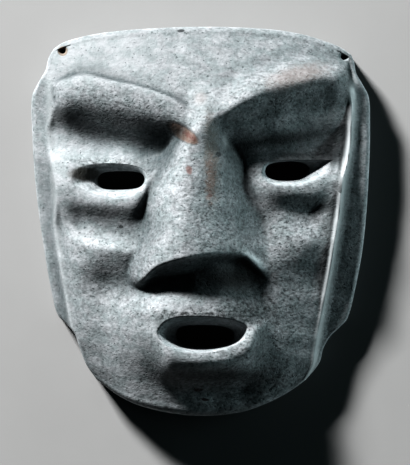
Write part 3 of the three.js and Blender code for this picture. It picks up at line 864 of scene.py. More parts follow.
@dataclass(frozen=True)
class WearAndPaintedLight:
    """How painted shade, painted highlights, polished smoothness and colour differ over the
    stone, as values for its points.

    Each tone patch lightens or darkens the stone, mostly as painted light and shade and a few
    as its own colour; each polished patch makes it glossier and lightens it as painted
    highlight; and each fleck patch thickens or thins its dark flecks, partly as painted shade.
    """

    relief: Relief = Relief()
    hollow: Hollow = Hollow()
    reaches: Triple = (2.5, 6.0, 13.0)
    skin: float = 1.5
    oval_power: float = 1.3
    wall_painted_light: float = 0.5
    ridge: Pair = (-1.7, 1.8)
    left_ridge: float = 0.35
    upturn: Pair = (0.3, 1.3)
    right_upturn: float = 0.4
    shoulder_y: float = 74.0
    # Mostly painted light and shade: these patches lighten lit parts such as the left lid and the
    # chin, darken shade such as the groove under the left eye, the creases over the left eye and
    # the mouth and the shade under the nose and the lower lip, and paint a highlight on the nose's
    # right wing; a few are the stone's own lighter and darker colour.
    shade_and_tone_patches: tuple[Patch, ...] = patches(
        ((-68, -28), (9, 36), 0.2), ((-40, 12), (17, 4), 0.12), ((-45, 33), (24, 6), 0.7),
        ((-22, 6), (5, 22), 0.2, -28), ((-44, -16), (14, 9), 0.3), ((-47, 5.5), (17, 3.4), -0.5),
        ((-64.5, 50.5), (6.5, 3.6), -0.6, -12), ((-40, 44), (20, 1.6), 0.4, -16),
        ((22, -42), (12, 7), -0.38), ((-20, -37), (13, 5), 0.25), ((-4, -44.2), (24, 1.7), -0.4),
        ((-44, 28.2), (18, 1.4), -0.3, -1), ((-19, -50), (2.4, 5), -0.3),
        ((-35, 84), (60, 20), -0.06), ((4, 4), (16, 26), 0.2), ((4, -67), (20, 4), 0.5),
        ((36, -52), (26, 26), -0.06), ((38, 47.5), (24, 4), 0.4, 6),
        ((37, 38.8), (23, 3), -0.7, 8), ((48, 30.8), (18, 2.6), -0.5, -4),
        ((3, -72), (20, 3.6), -0.6), ((14, -27), (20, 7), -0.93), ((12, -83), (34, 6), 0.4),
        ((25.4, -18.6), (5.5, 2), 2.2, -42), ((44, 72), (30, 12), 0.12),
    )
    # Polished stone with painted highlight: these patches make the nose's right wing and a spot on
    # the bridge glossier, and lighten them where highlights fall.
    rubbed_highlight: tuple[Patch, ...] = patches(
        ((25.4, -18.4), (5.5, 2.0), 0.9, -42), ((11.6, 38.8), (1.6, 4), 0.5),
    )
    # Partly painted shade: these patches thicken the dark flecks in shaded creases and hollows,
    # such as over the mouth and the left eye and on the chin, and thin them on lit parts such as
    # the left lid and the forehead; partly the stone's own fleck density.
    shade_and_fleck_crowds: tuple[Patch, ...] = patches(
        ((6, 4), (18, 24), 0.6), ((-36, 50), (30, 8), 0.5, -14), ((40, 58), (30, 12), 0.6, 18),
        ((30, -55), (34, 34), 0.7), ((44, -5), (22, 30), 0.6), ((-38, -24), (22, 12), 0.4),
        ((-52, 80), (34, 16), -0.6), ((0, 78), (40, 20), -0.2), ((-72, 10), (9, 70), -0.5),
        ((-45, 33), (24, 7), -0.5), ((22, -42), (14, 8), 0.8), ((-4, -44), (26, 2.2), 1.3),
        ((-44, 28.4), (19, 1.8), 1.2, -1), ((8, -80), (34, 12), 0.6),
        ((-38, 57), (34, 5), 0.4, -14), ((4, -65), (20, 3), -0.3), ((-44, 13), (20, 4), -0.5),
    )

    def patched(self, ovals: tuple[Patch, ...], x: Array, y: Array) -> Array:
        """The sum of soft patches at each place."""
        return sum(oval.amount * mound(x, y, oval.middle, oval.half, self.oval_power,
                                 oval.turn)
                   for oval in ovals)

    def shelter(self, x: Array, y: Array) -> Array:
        """How much of the sky the relief hides from each place on the face.

        It is the mean over eight ways of the sine of the steepest rise to any of the
        places a few reaches off that way.

        Args:
            x: Places across the face.
            y: Places up the face.

        Returns:
            Shares of the sky.
        """
        here = self.relief.carved(x, y)
        hidden = np.zeros_like(here)
        for turn in np.arange(8) * np.pi / 4:
            rises = [(self.relief.carved(x + reach * np.cos(turn), y + reach * np.sin(turn))
                      - here) / reach for reach in self.reaches]
            steepest = np.maximum.reduce([np.zeros_like(here), *rises])
            hidden += steepest / np.sqrt(1 + steepest**2) / 8
        return hidden

    def values(self, points: Array) -> dict[str, Array]:
        """The values for each point of the stone.

        The ridge beside each strip is polished, and lightened as painted highlight, along a bell
        curve across it, and on the right a narrower one darkens the turn just inside it as painted
        shade. The walls of the openings and the outer side are lightened as painted light.

        Args:
            points: Rows of x, y and z in millimetres.

        Returns:
            By name: shelter, the hidden share of the sky, by which the stone is darkened as painted
            shade; tone, a factor on the stone's colour, mostly painted light and shade; crowd, one
            on its dark flecks, partly painted shade; polish, how far it is polished smooth and
            lightened as painted highlight; and inside, whether it lies in the hollow.
        """
        x, y, z = points.T
        on_face = ease(self.skin - np.abs(z - self.relief.carved(x, y)))
        inside = ease(self.skin - np.abs(z - self.hollow.roof(x, y))) * (1 - on_face) \
            * ease((1 - self.hollow.share(x, y)) * 12)
        # Painted light: the walls of the openings and the outer side above 8 mm are lightened, as
        # though lit.
        wall = (1 - on_face) * (1 - inside) * past(z, 8, 6)
        inward = self.relief.strips.inward(x, y)
        # The ridge beside each strip: polished stone, lightened as painted highlight.
        ridge = bell(inward, *self.ridge) * past(-y, -self.shoulder_y, 12)
        ridge = ridge * np.where(x < 0, self.left_ridge, 1.0)
        # Painted shade: on the right, a narrow band just inside the ridge is darkened; not on the
        # left.
        upturn = bell(inward, *self.upturn) * np.where(x < 0, 0.0, self.right_upturn)
        tone = (self.patched(self.shade_and_tone_patches, x, y) - upturn) * on_face
        return {
            "shelter": self.shelter(x, y) * on_face,
            "tone": 1 + tone + self.wall_painted_light * wall,
            "crowd": 1 + self.patched(self.shade_and_fleck_crowds, x, y) * on_face,
            "polish_and_highlight": on_face * (ridge + self.patched(self.rubbed_highlight, x, y)),
            "inside": inside,
        }


# The mesh
class Shell:
    """Collects the points and four-sided faces of one closed surface."""

    def __init__(self) -> None:
        """Starts with no points and no faces."""
        self.points: list[Array] = []
        self.faces: list[Array] = []
        self.count = 0

    def add_points(self, points: Array) -> Array:
        """Adds points.

        Args:
            points: Rows of x, y and z.

        Returns:
            Their numbers in the shell.
        """
        self.points.append(points)
        numbers = np.arange(self.count, self.count + len(points))
        self.count += len(points)
        return numbers

    def add_grid(self, numbers: Array, keep: Array, outwards: bool) -> None:
        """Adds the faces of a grid of points.

        Args:
            numbers: The points' numbers, one row for each step up the grid.
            keep: Which cells get a face.
            outwards: Whether the faces look towards +Z, or else towards -Z.
        """
        corners = [numbers[:-1, :-1], numbers[:-1, 1:], numbers[1:, 1:], numbers[1:, :-1]]
        order = corners if outwards else corners[::-1]
        self.faces.append(np.stack([corner[keep] for corner in order], axis=-1))

    def add_bands(self, rings: list[Array]) -> None:
        """Adds the bands of faces between rings.

        Args:
            rings: Point numbers, ring by ring, each as long as the next.
        """
        for ring, following in zip(rings[:-1], rings[1:]):
            self.faces.append(np.column_stack(
                [ring, np.roll(ring, -1), np.roll(following, -1), following]))

    def finished(self) -> tuple[Array, Array]:
        """The finished surface.

        Returns:
            The points that faces use, in millimetres, and the faces renumbered.
        """
        points, faces = np.concatenate(self.points), np.concatenate(self.faces)
        used, renumbered = np.unique(faces, return_inverse=True)
        return points[used], renumbered.reshape(faces.shape)


def border(numbers: Array) -> Array:
    """The border of a grid of point numbers, anticlockwise from its first corner."""
    sides = numbers[0, :-1], numbers[:-1, -1], numbers[-1, :0:-1], numbers[:0:-1, 0]
    return np.concatenate(sides)


@dataclass(frozen=True)
class MaskShell:
    """The whole stone as one closed surface: front, openings, edge, rim and hollow."""

    outline: Outline = Outline()
    relief: Relief = Relief()
    hollow: Hollow = Hollow()
    openings: tuple[Opening, ...] = (
        LEFT_EYE, RIGHT_EYE, MOUTH,
        cord_hole("left_cord_hole", -65.8, 81.4, 2.35),
        cord_hole("right_cord_hole", 68.2, 78.4, 2.5),
    )
    columns: int = 178
    rows: int = 204
    inset_side: float = 2.6
    inset_chin: float = 4.4
    inset_top: float = 3.6
    back_inset: float = 1.2
    sheet: Pair = (155.0, 180.0)
    ends: Pair = (-92.5, 92.5)
    edge_share: float = 0.28
    edge_drops: Pair = (1.2, 4.5)
    edge_rings: int = 7
    side_rings: int = 4
    rim_rings: int = 3
    dense_rows: tuple[Triple, ...] = (
        (19.0, 13.0, 0.5), (-17.0, 7.0, 0.7), (-53.0, 12.0, 0.5),
    )

    def rows_shares(self) -> Array:
        """Shares of the way up of the grid's rows.

        They are closer together at the eyes, at the nose's underside and at the mouth,
        by bell curves of density, whose sum up the face is scaled to run from 0 to 1.

        Returns:
            One share for each row of points.
        """
        y = np.linspace(*self.ends, 800)
        density = 1 + sum(weight * bell(y, middle, half)
                          for middle, half, weight in self.dense_rows)
        summed = np.concatenate([[0], np.cumsum(density[1:] + density[:-1])])
        return np.interp(np.linspace(0, summed[-1], self.rows + 1), summed,
                         np.linspace(0, 1, len(y)))

    def plan(self, side: float, chin: float, top: float) -> Array:
        """The grid's places, drawn in from the outline.

        Args:
            side: How far in from the two sides.
            chin: How far in from the chin.
            top: How far in from the top edge.

        Returns:
            An array of rows up, columns across, and x and y.
        """
        width, height = self.sheet
        across = side / width + (1 - 2 * side / width) * np.linspace(0, 1, self.columns + 1)
        upward = chin / height + (1 - (chin + top) / height) * self.rows_shares()
        return np.stack(self.outline.place(*np.meshgrid(across, upward)), axis=-1)

    def blocks(self, plan: Array) -> list[tuple[slice, slice]]:
        """The rows and columns of points that bound the cells each opening replaces.

        Args:
            plan: The grid's places.

        Returns:
            A slice of rows and one of columns for each opening.
        """
        found = []
        for opening in self.openings:
            low, high = opening.box()
            inside = ((plan > low) & (plan < high)).all(-1)
            rows, columns = np.nonzero(inside.any(1))[0], np.nonzero(inside.any(0))[0]
            found.append((slice(rows[0], rows[-1] + 1), slice(columns[0], columns[-1] + 1)))
        return found

    def build(self) -> tuple[Array, Array]:
        """Works out the whole surface.

        The front and the back are grids on the outline's sheet. Each opening takes a
        block of cells out of both and joins the two borders with rings. The outer edge
        is a quarter oval in section, then the upright side, then a small round into
        the back rim.

        Returns:
            Points in millimetres and four-sided faces.
        """
        shell = Shell()
        front_plan = self.plan(self.inset_side, self.inset_chin, self.inset_top)
        back_plan = self.plan(self.back_inset, self.back_inset, self.back_inset)
        outline_plan = self.plan(0, 0, 0)
        shape = front_plan.shape[:2]
        front = np.dstack([front_plan, self.relief.height(front_plan[..., 0], front_plan[..., 1])])
        back = np.dstack([back_plan, self.hollow.roof(back_plan[..., 0], back_plan[..., 1])])
        front_points, back_points = front.reshape(-1, 3), back.reshape(-1, 3)
        numbers = shell.add_points(front_points).reshape(shape)
        shell.add_points(back_points)


        keep = np.ones((shape[0] - 1, shape[1] - 1), bool)
        for opening, (rows, columns) in zip(self.openings, self.blocks(front_plan)):
            keep[rows.start:rows.stop - 1, columns.start:columns.stop - 1] = False
            ring = border(numbers[rows, columns])
            rings = opening.rings(front_points[ring], back_points[ring], self.relief, self.hollow)
            shell.add_bands([ring, *map(shell.add_points, rings), ring + numbers.size])
        shell.add_grid(numbers, keep, outwards=True)
        shell.add_grid(numbers + numbers.size, keep, outwards=False)

        outer = border(numbers)[::-1]
        inner_front, inner_back = front_points[outer], back_points[outer]
        edge = outline_plan.reshape(-1, 2)[outer]
        drop = np.clip(self.edge_share * inner_front[:, 2], *self.edge_drops)
        rings = []
        for step in range(1, self.edge_rings + 1):
            angle = step / self.edge_rings * np.pi / 2
            plan = inner_front[:, :2] + (edge - inner_front[:, :2]) * np.sin(angle)
            rings.append(np.column_stack([plan, inner_front[:, 2] - drop * (1 - np.cos(angle))]))
        low, start = self.back_inset, rings[-1][:, 2]
        for step in range(1, self.side_rings + 1):
            level = start + (low - start) * step / self.side_rings
            rings.append(np.column_stack([edge, level]))
        for step in range(1, self.rim_rings):
            angle = step / self.rim_rings * np.pi / 2
            plan = edge + (inner_back[:, :2] - edge) * (1 - np.cos(angle))
            rings.append(np.column_stack([plan, np.full(len(edge), low * (1 - np.sin(angle)))]))
        shell.add_bands([outer, *map(shell.add_points, rings), outer + numbers.size])
        return shell.finished()


def make_object(name: str, points: Array, faces: Array,
                values: dict[str, Array] | None = None) -> bpy.types.Object:
    """Makes a smooth-shaded mesh object at the origin.

    Args:
        name: The object's name.
        points: Rows of x, y and z in millimetres.
        faces: Rows of point numbers.
        values: Attributes by name, one number for each point.

    Returns:
        The object, linked to the scene.
    """
    mesh = bpy.data.meshes.new(name)
    mesh.from_pydata((points * MM).tolist(), [], faces.tolist())
    mesh.polygons.foreach_set("use_smooth", np.ones(len(faces), bool))
    for label, numbers in (values or {}).items():
        attribute = mesh.attributes.new(label, "FLOAT", "POINT")
        attribute.data.foreach_set("value", numbers.astype(np.float32))
    mesh.update()
    made = bpy.data.objects.new(name, mesh)
    bpy.context.scene.collection.objects.link(made)
    return made


# Node sheets
class Blend(Enum):
    """How a second colour goes over a first."""

    MIX = "MIX"
    MULTIPLY = "MULTIPLY"


class Sheet:
    """A node tree that is being laid out, with short calls for its usual nodes."""

    def __init__(self, tree: bpy.types.NodeTree) -> None:
        """Works on the given tree."""
        self.tree = tree

    def node(self, kind: str, inputs: dict[str | int, object] | None = None,
             **settings: object) -> bpy.types.Node:
        """Adds a node, sets its properties and feeds its inputs.

        Args:
            kind: The node's type name.
            inputs: What its inputs are fed, by their names or numbers.
            settings: Properties and their values.

        Returns:
            The node.
        """
        made = self.tree.nodes.new(kind)
        for name, value in settings.items():
            setattr(made, name, value)
        for key, value in (inputs or {}).items():
            self.feed(made.inputs[key], value)
        return made

    def feed(self, socket: Socket, value: object) -> None:
        """Links a socket to another, or sets its value.

        Args:
            socket: The input that is fed.
            value: The output to link to it, or else the value to set.
        """
        if isinstance(value, Socket):
            self.tree.links.new(value, socket)
        elif isinstance(value, tuple) and len(value) == 3 and socket.type == "RGBA":
            socket.default_value = (*value, 1.0)
        else:
            socket.default_value = value

    def math(self, operation: str, first: object, second: object = 0.0) -> Socket:
        """What a Math node makes of two numbers or sockets."""
        return self.node("ShaderNodeMath", {0: first, 1: second}, operation=operation).outputs[0]

    def plus(self, first: object, second: object) -> Socket:
        """The sum of two numbers or sockets."""
        return self.math("ADD", first, second)

    def minus(self, first: object, second: object) -> Socket:
        """The difference of two numbers or sockets."""
        return self.math("SUBTRACT", first, second)

    def times(self, first: object, second: object) -> Socket:
        """The product of two numbers or sockets."""
        return self.math("MULTIPLY", first, second)

    def scaled(self, colour: object, factor: object) -> Socket:
        """The product of a colour and a number."""
        inputs = {0: colour, "Scale": factor}
        return self.node("ShaderNodeVectorMath", inputs, operation="SCALE").outputs[0]

    def span(self, value: object, low: object, high: object, to_low: float = 0.0,
             to_high: float = 1.0) -> Socket:
        """Maps low to high onto to_low to to_high in a soft step, kept within them."""
        inputs = dict(enumerate((value, low, high, to_low, to_high)))
        return self.node("ShaderNodeMapRange", inputs, interpolation_type="SMOOTHSTEP").outputs[0]

    def noise(self, vector: object, size: float, detail: float = 2.0, rough: float = 0.5,
              swirl: float = 0.0) -> Socket:
        """A noise in lumps about size millimetres wide, with finer layers, swirled."""
        inputs = {"Vector": vector, "Scale": 1000.0 / size, "Detail": detail,
                  "Roughness": rough, "Distortion": swirl}
        return self.node("ShaderNodeTexNoise", inputs).outputs["Fac"]

    def placed(self, vector: object, location: Triple = (0, 0, 0),
               scale: Triple = (1, 1, 1)) -> Socket:
        """A vector scaled, then moved by metres."""
        inputs = {"Vector": vector, "Location": location, "Scale": scale}
        return self.node("ShaderNodeMapping", inputs).outputs[0]

    def mix(self, share: object, first: object, second: object,
            blend: Blend = Blend.MIX) -> Socket:
        """A first colour with a share of a second over it."""
        inputs = {"Factor": share, 6: first, 7: second}
        return self.node("ShaderNodeMix", inputs, data_type="RGBA",
                         blend_type=blend.value).outputs[2]

    def tint(self, colour: object, mask: object, share: float, second: object,
             blend: Blend = Blend.MIX) -> Socket:
        """A colour with a share of a second over it where a mask is 1."""
        return self.mix(self.times(mask, share), colour, second, blend)


def new_group(name: str, inputs: dict[str, tuple[str, object]],
              outputs: dict[str, str]) -> tuple[bpy.types.NodeTree, Sheet, dict, bpy.types.Node]:
    """Starts a shader node group.

    Args:
        name: The group's name.
        inputs: For each input its socket type and default, None where it has none.
        outputs: For each output its socket type.

    Returns:
        The group, its sheet, its inputs by name and its output node.
    """
    group = bpy.data.node_groups.new(name, "ShaderNodeTree")
    for label, (kind, default) in inputs.items():
        socket = group.interface.new_socket(name=label, in_out="INPUT", socket_type=kind)
        if default is not None:
            socket.default_value = default
    for label, kind in outputs.items():
        group.interface.new_socket(name=label, in_out="OUTPUT", socket_type=kind)
    sheet = Sheet(group)
    given = sheet.node("NodeGroupInput")
    return group, sheet, {label: given.outputs[label] for label in inputs}, \
        sheet.node("NodeGroupOutput")


VECTOR = "NodeSocketVector"
NUMBER = "NodeSocketFloat"
COLOUR = "NodeSocketColor"


# The finishes
@dataclass(frozen=True)
class Mark:
    """A stain, chip, pit or patch of painted shade: an oval in plan on the face, ragged and
    soft at its edge, and sunk into the grain by a share of its height."""

    middle: Pair
    half: Pair
    colour: Triple
    share: float
    turn: float = 0.0
    ragged: float = 0.5
    soft: float = 0.3
    sunk: float = 0.0


RED, PINK, PIT = (0.12, 0.06, 0.05), (0.20, 0.165, 0.155), (0.03, 0.012, 0.012)
DARK = (0.02, 0.025, 0.027)
MARKS = {
    "bridge_stain": Mark((5.2, 29), (3.4, 19), (0.17, 0.14, 0.115), 0.6, 2, 1.3, 0.5),
    "bridge_red": Mark((4.5, 20), (2.2, 10), (0.22, 0.12, 0.09), 0.35, 0, 2.2, 0.4),
    "brow_pink": Mark((45.5, 68.5), (14, 5), PINK, 0.6, 16, 0.9, 0.6),
    "bridge_pink": Mark((0, 58), (3, 3), PINK, 0.35, 0, 0.8, 0.6),
    "chip_rim": Mark((-8.2, 41.5), (9, 3.6), (0.05, 0.04, 0.036), 0.75, -34, 0.35, 0.16, 0.6),
    "chip": Mark((-7.9, 41.2), (7.8, 2.8), (0.16, 0.115, 0.095), 0.95, -34, 0.3, 0.12, 0.6),
    "chip_specks": Mark((-5.5, 40.4), (3.6, 1.2), RED, 0.8, -34, 2.6, 0.3),
    "red_spot": Mark((-5.4, 24), (1.5, 2.1), RED, 0.8, 20, 0.8, 0.35, 0.25),
    "round_pit": Mark((8.2, 31.4), (1.25, 1.3), DARK, 0.9, 0, 0.4, 0.3, 0.5),
    "reddish_bit": Mark((4.4, 12.3), (1.2, 0.9), RED, 0.6, 0, 0.7, 0.4),
    "top_slit": Mark((-9.4, 90.5), (1.7, 0.8), DARK, 0.9, 6, 0.4, 0.2, 0.5),
    "cheek_pit": Mark((-37.6, -2.5), (0.9, 0.8), DARK, 0.85, 0, 0.5, 0.3, 0.4),
    "chin_pit_left": Mark((-1.2, -79.8), (2.3, 0.8), PIT, 0.9, 4, 0.6, 0.3, 0.5),
    "chin_pit_right": Mark((2, -84.6), (1.9, 0.7), PIT, 0.9, -10, 0.6, 0.3, 0.5),
    # Painted shade: the outer wall of the left eye's opening, which lies in shade, painted near
    # black.
    "eye_corner_shade": Mark((-54.9, 22.6), (7.5, 3.4), (0.02, 0.019, 0.014), 0.9, 0, 0.4, 0.3),
    "hole_deposit": Mark((-65.8, 81.4), (2.5, 2.5), (0.20, 0.165, 0.135), 0.92, 0, 0.2, 0.1),
}


@dataclass(frozen=True)
class SpeckledStone:
    """Pale green-grey stone, thick with dark flecks, polished and stained by age, with painted
    shade in its hollows and painted highlights on its polished ridges.
    """

    pale: Triple = (0.290, 0.306, 0.318)
    mid: Triple = (0.215, 0.242, 0.249)
    dark: Triple = (0.022, 0.038, 0.038)
    light_fleck: Triple = (0.38, 0.40, 0.41)
    # Pale colour of the polished ridges, partly painted highlight.
    rubbed_highlight: Triple = (0.50, 0.53, 0.54)
    # Painted shade: the dark teal that creases, sockets and undersides are darkened towards.
    painted_shade: Triple = (0.11, 0.15, 0.155)
    earth: Triple = (0.24, 0.215, 0.18)
    mark_level: float = 0.035
    mark_depth: float = 0.06
    bounce: Triple = (0.35, 0.35, 0.35)
    grain_height: float = 0.0002

    def flecks(self) -> bpy.types.NodeTree:
        """Group of the stone's body: its colour, and its grain as a height.

        Noise of two sizes less its mean, times the crowding, darkens the colour, and
        the peaks of a third noise are dark pips.

        Returns:
            The group, with inputs Place and Crowd and outputs Colour and Grain.
        """
        group, sheet, given, out = new_group(
            "stone body", {"Place": (VECTOR, None), "Crowd": (NUMBER, 1.0)},
            {"Colour": COLOUR, "Grain": NUMBER})
        place, crowd = sheet.placed(given["Place"], scale=(0.78, 1, 1)), given["Crowd"]
        patch = sheet.noise(place, 5.5, 3, 0.6, 0.4)
        grain = sheet.noise(place, 2.1, 3, 0.65)
        fine = sheet.noise(sheet.placed(place, (0.3, 0.1, 0)), 1.15, 2, 0.6)
        speck = sheet.noise(sheet.placed(place, (0.7, 0.2, 0.1)), 1.3, 2, 0.5)
        pips = sheet.span(sheet.plus(speck, sheet.times(sheet.minus(crowd, 1.0), 0.05)), 0.62, 0.72)
        body = sheet.mix(sheet.span(patch, 0.35, 0.65), self.pale, self.mid)
        body = sheet.tint(body, pips, 0.55, self.dark)
        pepper = sheet.times(sheet.times(sheet.minus(sheet.plus(grain, fine), 1.0), crowd), 1.25)
        peppered = sheet.scaled(body, sheet.math("MAXIMUM", sheet.plus(pepper, 1.0), 0.15))
        sheet.feed(out.inputs["Colour"], peppered)
        rough = sheet.plus(grain, sheet.times(fine, 0.8))
        sheet.feed(out.inputs["Grain"], sheet.minus(rough, sheet.times(pips, 0.6)))
        return group

    def oval(self) -> bpy.types.NodeTree:
        """Group of an oval's mask: 1 in its middle, with an edge that noise moves.

        Returns:
            The group, with the oval's place, turn, half sizes and edge as inputs.
        """
        group, sheet, given, out = new_group(
            "oval mark",
            {"Place": (VECTOR, None), "Middle": (VECTOR, None), "Turn": (VECTOR, None),
             "Half": (VECTOR, None), "Ragged": (NUMBER, 0.5), "Soft": (NUMBER, 0.3)},
            {"Mask": NUMBER})
        inputs = dict(enumerate(given[label] for label in ("Place", "Middle", "Turn", "Half")))
        local = sheet.node("ShaderNodeMapping", inputs, vector_type="TEXTURE")
        away = sheet.node("ShaderNodeVectorMath", {0: local.outputs[0]}, operation="LENGTH")
        uneven = sheet.minus(sheet.noise(given["Place"], 2.2, 3, 0.6), 0.5)
        distance = sheet.plus(away.outputs["Value"], sheet.times(uneven, given["Ragged"]))
        mask = sheet.span(distance, sheet.minus(1.0, given["Soft"]),
                          sheet.plus(1.0, given["Soft"]), 1.0, 0.0)
        sheet.feed(out.inputs["Mask"], mask)
        return group

    def cracks(self, sheet: Sheet, place: object) -> Socket:
        """Fine branching scratches, where a swirled noise crosses its middle value.

        Args:
            sheet: Where the nodes go.
            place: The place on the stone.

        Returns:
            1 on a scratch and 0 beside it.
        """
        swirl = sheet.noise(sheet.placed(place, (0.02, 0.05, 0.01)), 5.5, 2, 0.5, 1.6)
        off = sheet.math("ABSOLUTE", sheet.minus(swirl, 0.5))
        return sheet.span(off, 0.004, 0.016, 1.0, 0.0)

    def marked(self, sheet: Sheet, place: object, colour: Socket,
               grain: Socket) -> tuple[Socket, Socket]:
        """Lays the marks over the stone, and the scratches over the stain on the bridge.

        Args:
            sheet: Where the nodes go.
            place: The place on the stone.
            colour: The stone's colour.
            grain: Its grain as a height.

        Returns:
            The new colour and grain.
        """
        oval, masks = self.oval(), {}
        for name, mark in MARKS.items():
            x, y, half_x, half_y = (size * MM for size in (*mark.middle, *mark.half))
            masks[name] = sheet.node("ShaderNodeGroup", {
                "Place": place, "Middle": (x, y, self.mark_level),
                "Turn": (0.0, 0.0, np.radians(mark.turn)), "Ragged": mark.ragged,
                "Half": (half_x, half_y, self.mark_depth), "Soft": mark.soft,
            }, node_tree=oval).outputs["Mask"]
            colour = sheet.tint(colour, masks[name], mark.share, mark.colour)
            if mark.sunk:
                grain = sheet.minus(grain, sheet.times(masks[name], mark.sunk))
        scratched = sheet.times(self.cracks(sheet, place), masks["bridge_stain"])
        colour = sheet.tint(colour, scratched, 0.6, self.light_fleck)
        return colour, sheet.plus(grain, sheet.times(scratched, 0.5))

    def material(self) -> bpy.types.Material:
        """The stone of the whole mask: flecks, marks, painted shade where the relief hides the sky,
        earth in the hollow, faint brush strokes, the tone with its painted light and shade, and
        the polished ridges, lightened partly as painted highlight.

        Returns:
            The material.
        """
        made = bpy.data.materials.new("speckled stone")
        made.use_nodes = True
        sheet = Sheet(made.node_tree)
        shader = made.node_tree.nodes["Principled BSDF"]
        place = sheet.node("ShaderNodeTexCoord").outputs["Object"]
        value = {label: sheet.node("ShaderNodeAttribute", attribute_name=label).outputs["Fac"]
                 for label in ("shelter", "tone", "crowd", "polish_and_highlight", "inside")}
        body = sheet.node("ShaderNodeGroup", {"Place": place, "Crowd": value["crowd"]},
                          node_tree=self.flecks())
        strokes = sheet.noise(sheet.placed(place, scale=(1, 0.09, 0.3)), 1.1, 2, 0.6)
        colour, grain = self.marked(sheet, place, body.outputs["Colour"], body.outputs["Grain"])

        # Painted shade: the colour is darkened where the relief hides much of the sky, in creases,
        # sockets and under the nose and the lip.
        sheltered = sheet.span(value["shelter"], 0.16, 0.46)
        colour = sheet.tint(colour, sheltered, 0.85, self.painted_shade, Blend.MULTIPLY)
        colour = sheet.tint(colour, value["inside"], 0.5, self.earth)
        colour = sheet.tint(colour, sheet.span(strokes, 0.35, 0.75), 0.10, self.light_fleck)
        colour = sheet.scaled(colour, value["tone"])
        # Painted highlight, partly polished stone: the polished ridges and patches are lightened
        # towards a pale colour.
        colour = sheet.tint(colour, value["polish_and_highlight"], 0.85, self.rubbed_highlight)
        bounced = sheet.node("ShaderNodeLightPath").outputs["Is Diffuse Ray"]
        colour = sheet.mix(bounced, colour, self.bounce, Blend.MULTIPLY)
        sheet.feed(shader.inputs["Base Color"], colour)
        sheet.feed(shader.inputs["Roughness"], sheet.span(value["polish_and_highlight"], 0.0, 1.0, 0.62, 0.30))
        shader.inputs["Specular IOR Level"].default_value = 0.3
        strength = sheet.span(value["polish_and_highlight"], 0.0, 1.0, 1.0, 0.15)
        bump = sheet.node("ShaderNodeBump", {"Strength": strength, "Height": grain})
        bump.inputs["Distance"].default_value = self.grain_height
        sheet.feed(shader.inputs["Normal"], bump.outputs[0])
        return made


@dataclass(frozen=True)
class PaleFloor:
    """A plain pale surface with a faint unevenness of tone."""

    colour: Triple = (0.39, 0.39, 0.387)
    darker: float = 0.97

    def material(self) -> bpy.types.Material:
        """The floor's material.

        Returns:
            The material.
        """
        made = bpy.data.materials.new("pale floor")
        made.use_nodes = True
        sheet = Sheet(made.node_tree)
        shader = made.node_tree.nodes["Principled BSDF"]
        place = sheet.node("ShaderNodeTexCoord").outputs["Object"]
        cloud = sheet.span(sheet.noise(place, 60, 3, 0.6), 0.3, 0.7)
        darker = tuple(self.darker * part for part in self.colour)
        sheet.feed(shader.inputs["Base Color"], sheet.mix(cloud, self.colour, darker))
        shader.inputs["Roughness"].default_value = 0.8
        return made


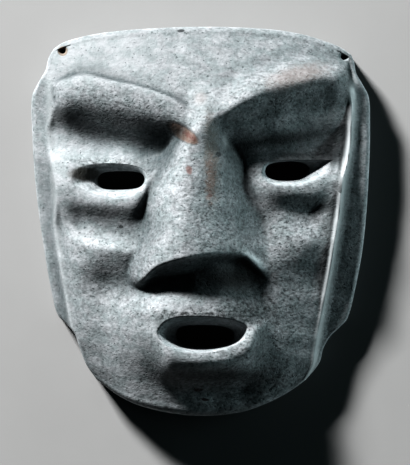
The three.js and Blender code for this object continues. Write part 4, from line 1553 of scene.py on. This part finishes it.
# The scene
@dataclass(frozen=True)
class Studio:
    """Floor, lights and camera."""

    picture_middle: Pair = (2.03, -5.14)
    picture_height: float = 222.3
    outline_level: float = 12.0
    distance: float = 1800.0
    sensor: float = 36.0
    floor_half: float = 1500.0
    floor_level: float = -0.05
    floor_cells: int = 8
    surround: tuple[float, ...] = (0.5, 0.9, 1, 1)
    surround_strength: float = 0.01

    def floor(self) -> bpy.types.Object:
        """The plain pale floor that the mask lies on, a flat grid.

        Returns:
            The floor's object.
        """
        count = self.floor_cells + 1
        x, y = np.meshgrid(*[np.linspace(-self.floor_half, self.floor_half, count)] * 2)
        points = np.stack([x, y, np.full_like(x, self.floor_level)], axis=-1).reshape(-1, 3)
        shell = Shell()
        numbers = shell.add_points(points).reshape(count, count)
        shell.add_grid(numbers, np.ones((count - 1, count - 1), bool), outwards=True)
        made = make_object("floor", *shell.finished())
        made.data.materials.append(PaleFloor().material())
        return made

    def camera(self) -> bpy.types.Object:
        """The camera, straight above the mask with the forehead up in the picture.

        Returns:
            The camera's object.
        """
        data = bpy.data.cameras.new("camera")
        data.sensor_width = self.sensor
        data.lens = self.distance * self.sensor / self.picture_height
        data.clip_start, data.clip_end = 0.05, 10.0
        made = bpy.data.objects.new("camera", data)
        x, y = self.picture_middle
        made.location = (x * MM, y * MM, (self.outline_level + self.distance) * MM)
        bpy.context.scene.collection.objects.link(made)
        bpy.context.scene.camera = made
        return made

    def light(self, name: str, way: Triple, distance: float, size: Pair, power: float,
              tint: Triple = (1, 1, 1)) -> bpy.types.Object:
        """A soft oblong light that looks at the middle of the mask.

        Args:
            name: What it is called.
            way: Its direction from the mask.
            distance: How far off it is, in metres.
            size: Its width and length, in metres.
            power: Its power in watts.
            tint: Its colour.

        Returns:
            The light's object.
        """
        data = bpy.data.lights.new(name, "AREA")
        data.shape = "RECTANGLE"
        data.size, data.size_y = size
        data.energy, data.color = power, tint
        made = bpy.data.objects.new(name, data)
        out = np.asarray(way, float) / np.linalg.norm(way)
        made.location = tuple(out * distance)
        made.rotation_mode = "QUATERNION"
        made.rotation_quaternion = Vector(tuple(out)).to_track_quat("Z", "Y")
        bpy.context.scene.collection.objects.link(made)
        return made

    def lights(self) -> None:
        """Soft key from the upper left, a low one from the right and a faint surround."""
        self.light("key light", (-0.52, 0.72, 0.46), distance=2.5, size=(0.4, 0.4), power=128)
        self.light("right light", (0.98, 0.10, 0.035), distance=1.0, size=(0.7, 0.06), power=4.4,
                   tint=(0.82, 1, 1.02))
        world = bpy.data.worlds.new("surround")
        world.use_nodes = True
        background = world.node_tree.nodes["Background"]
        background.inputs["Color"].default_value = self.surround
        background.inputs["Strength"].default_value = self.surround_strength
        bpy.context.scene.world = world


def main() -> None:
    logging.basicConfig(level=logging.INFO, format="%(name)s: %(message)s")
    studio = Studio()
    studio.camera()
    points, faces = MaskShell().build()
    mask = make_object("mask_carved", points, faces, WearAndPaintedLight().values(points))
    mask.data.materials.append(SpeckledStone().material())
    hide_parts("mask")
    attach(mask, "root")
    log.info("mask: %d points, %d faces", len(points), len(faces))
    floor = studio.floor()
    studio.lights()
    bpy.context.scene.view_settings.view_transform = "Standard"
    bpy.context.scene.view_settings.look = "High Contrast"


if __name__ == "__main__":
    main()
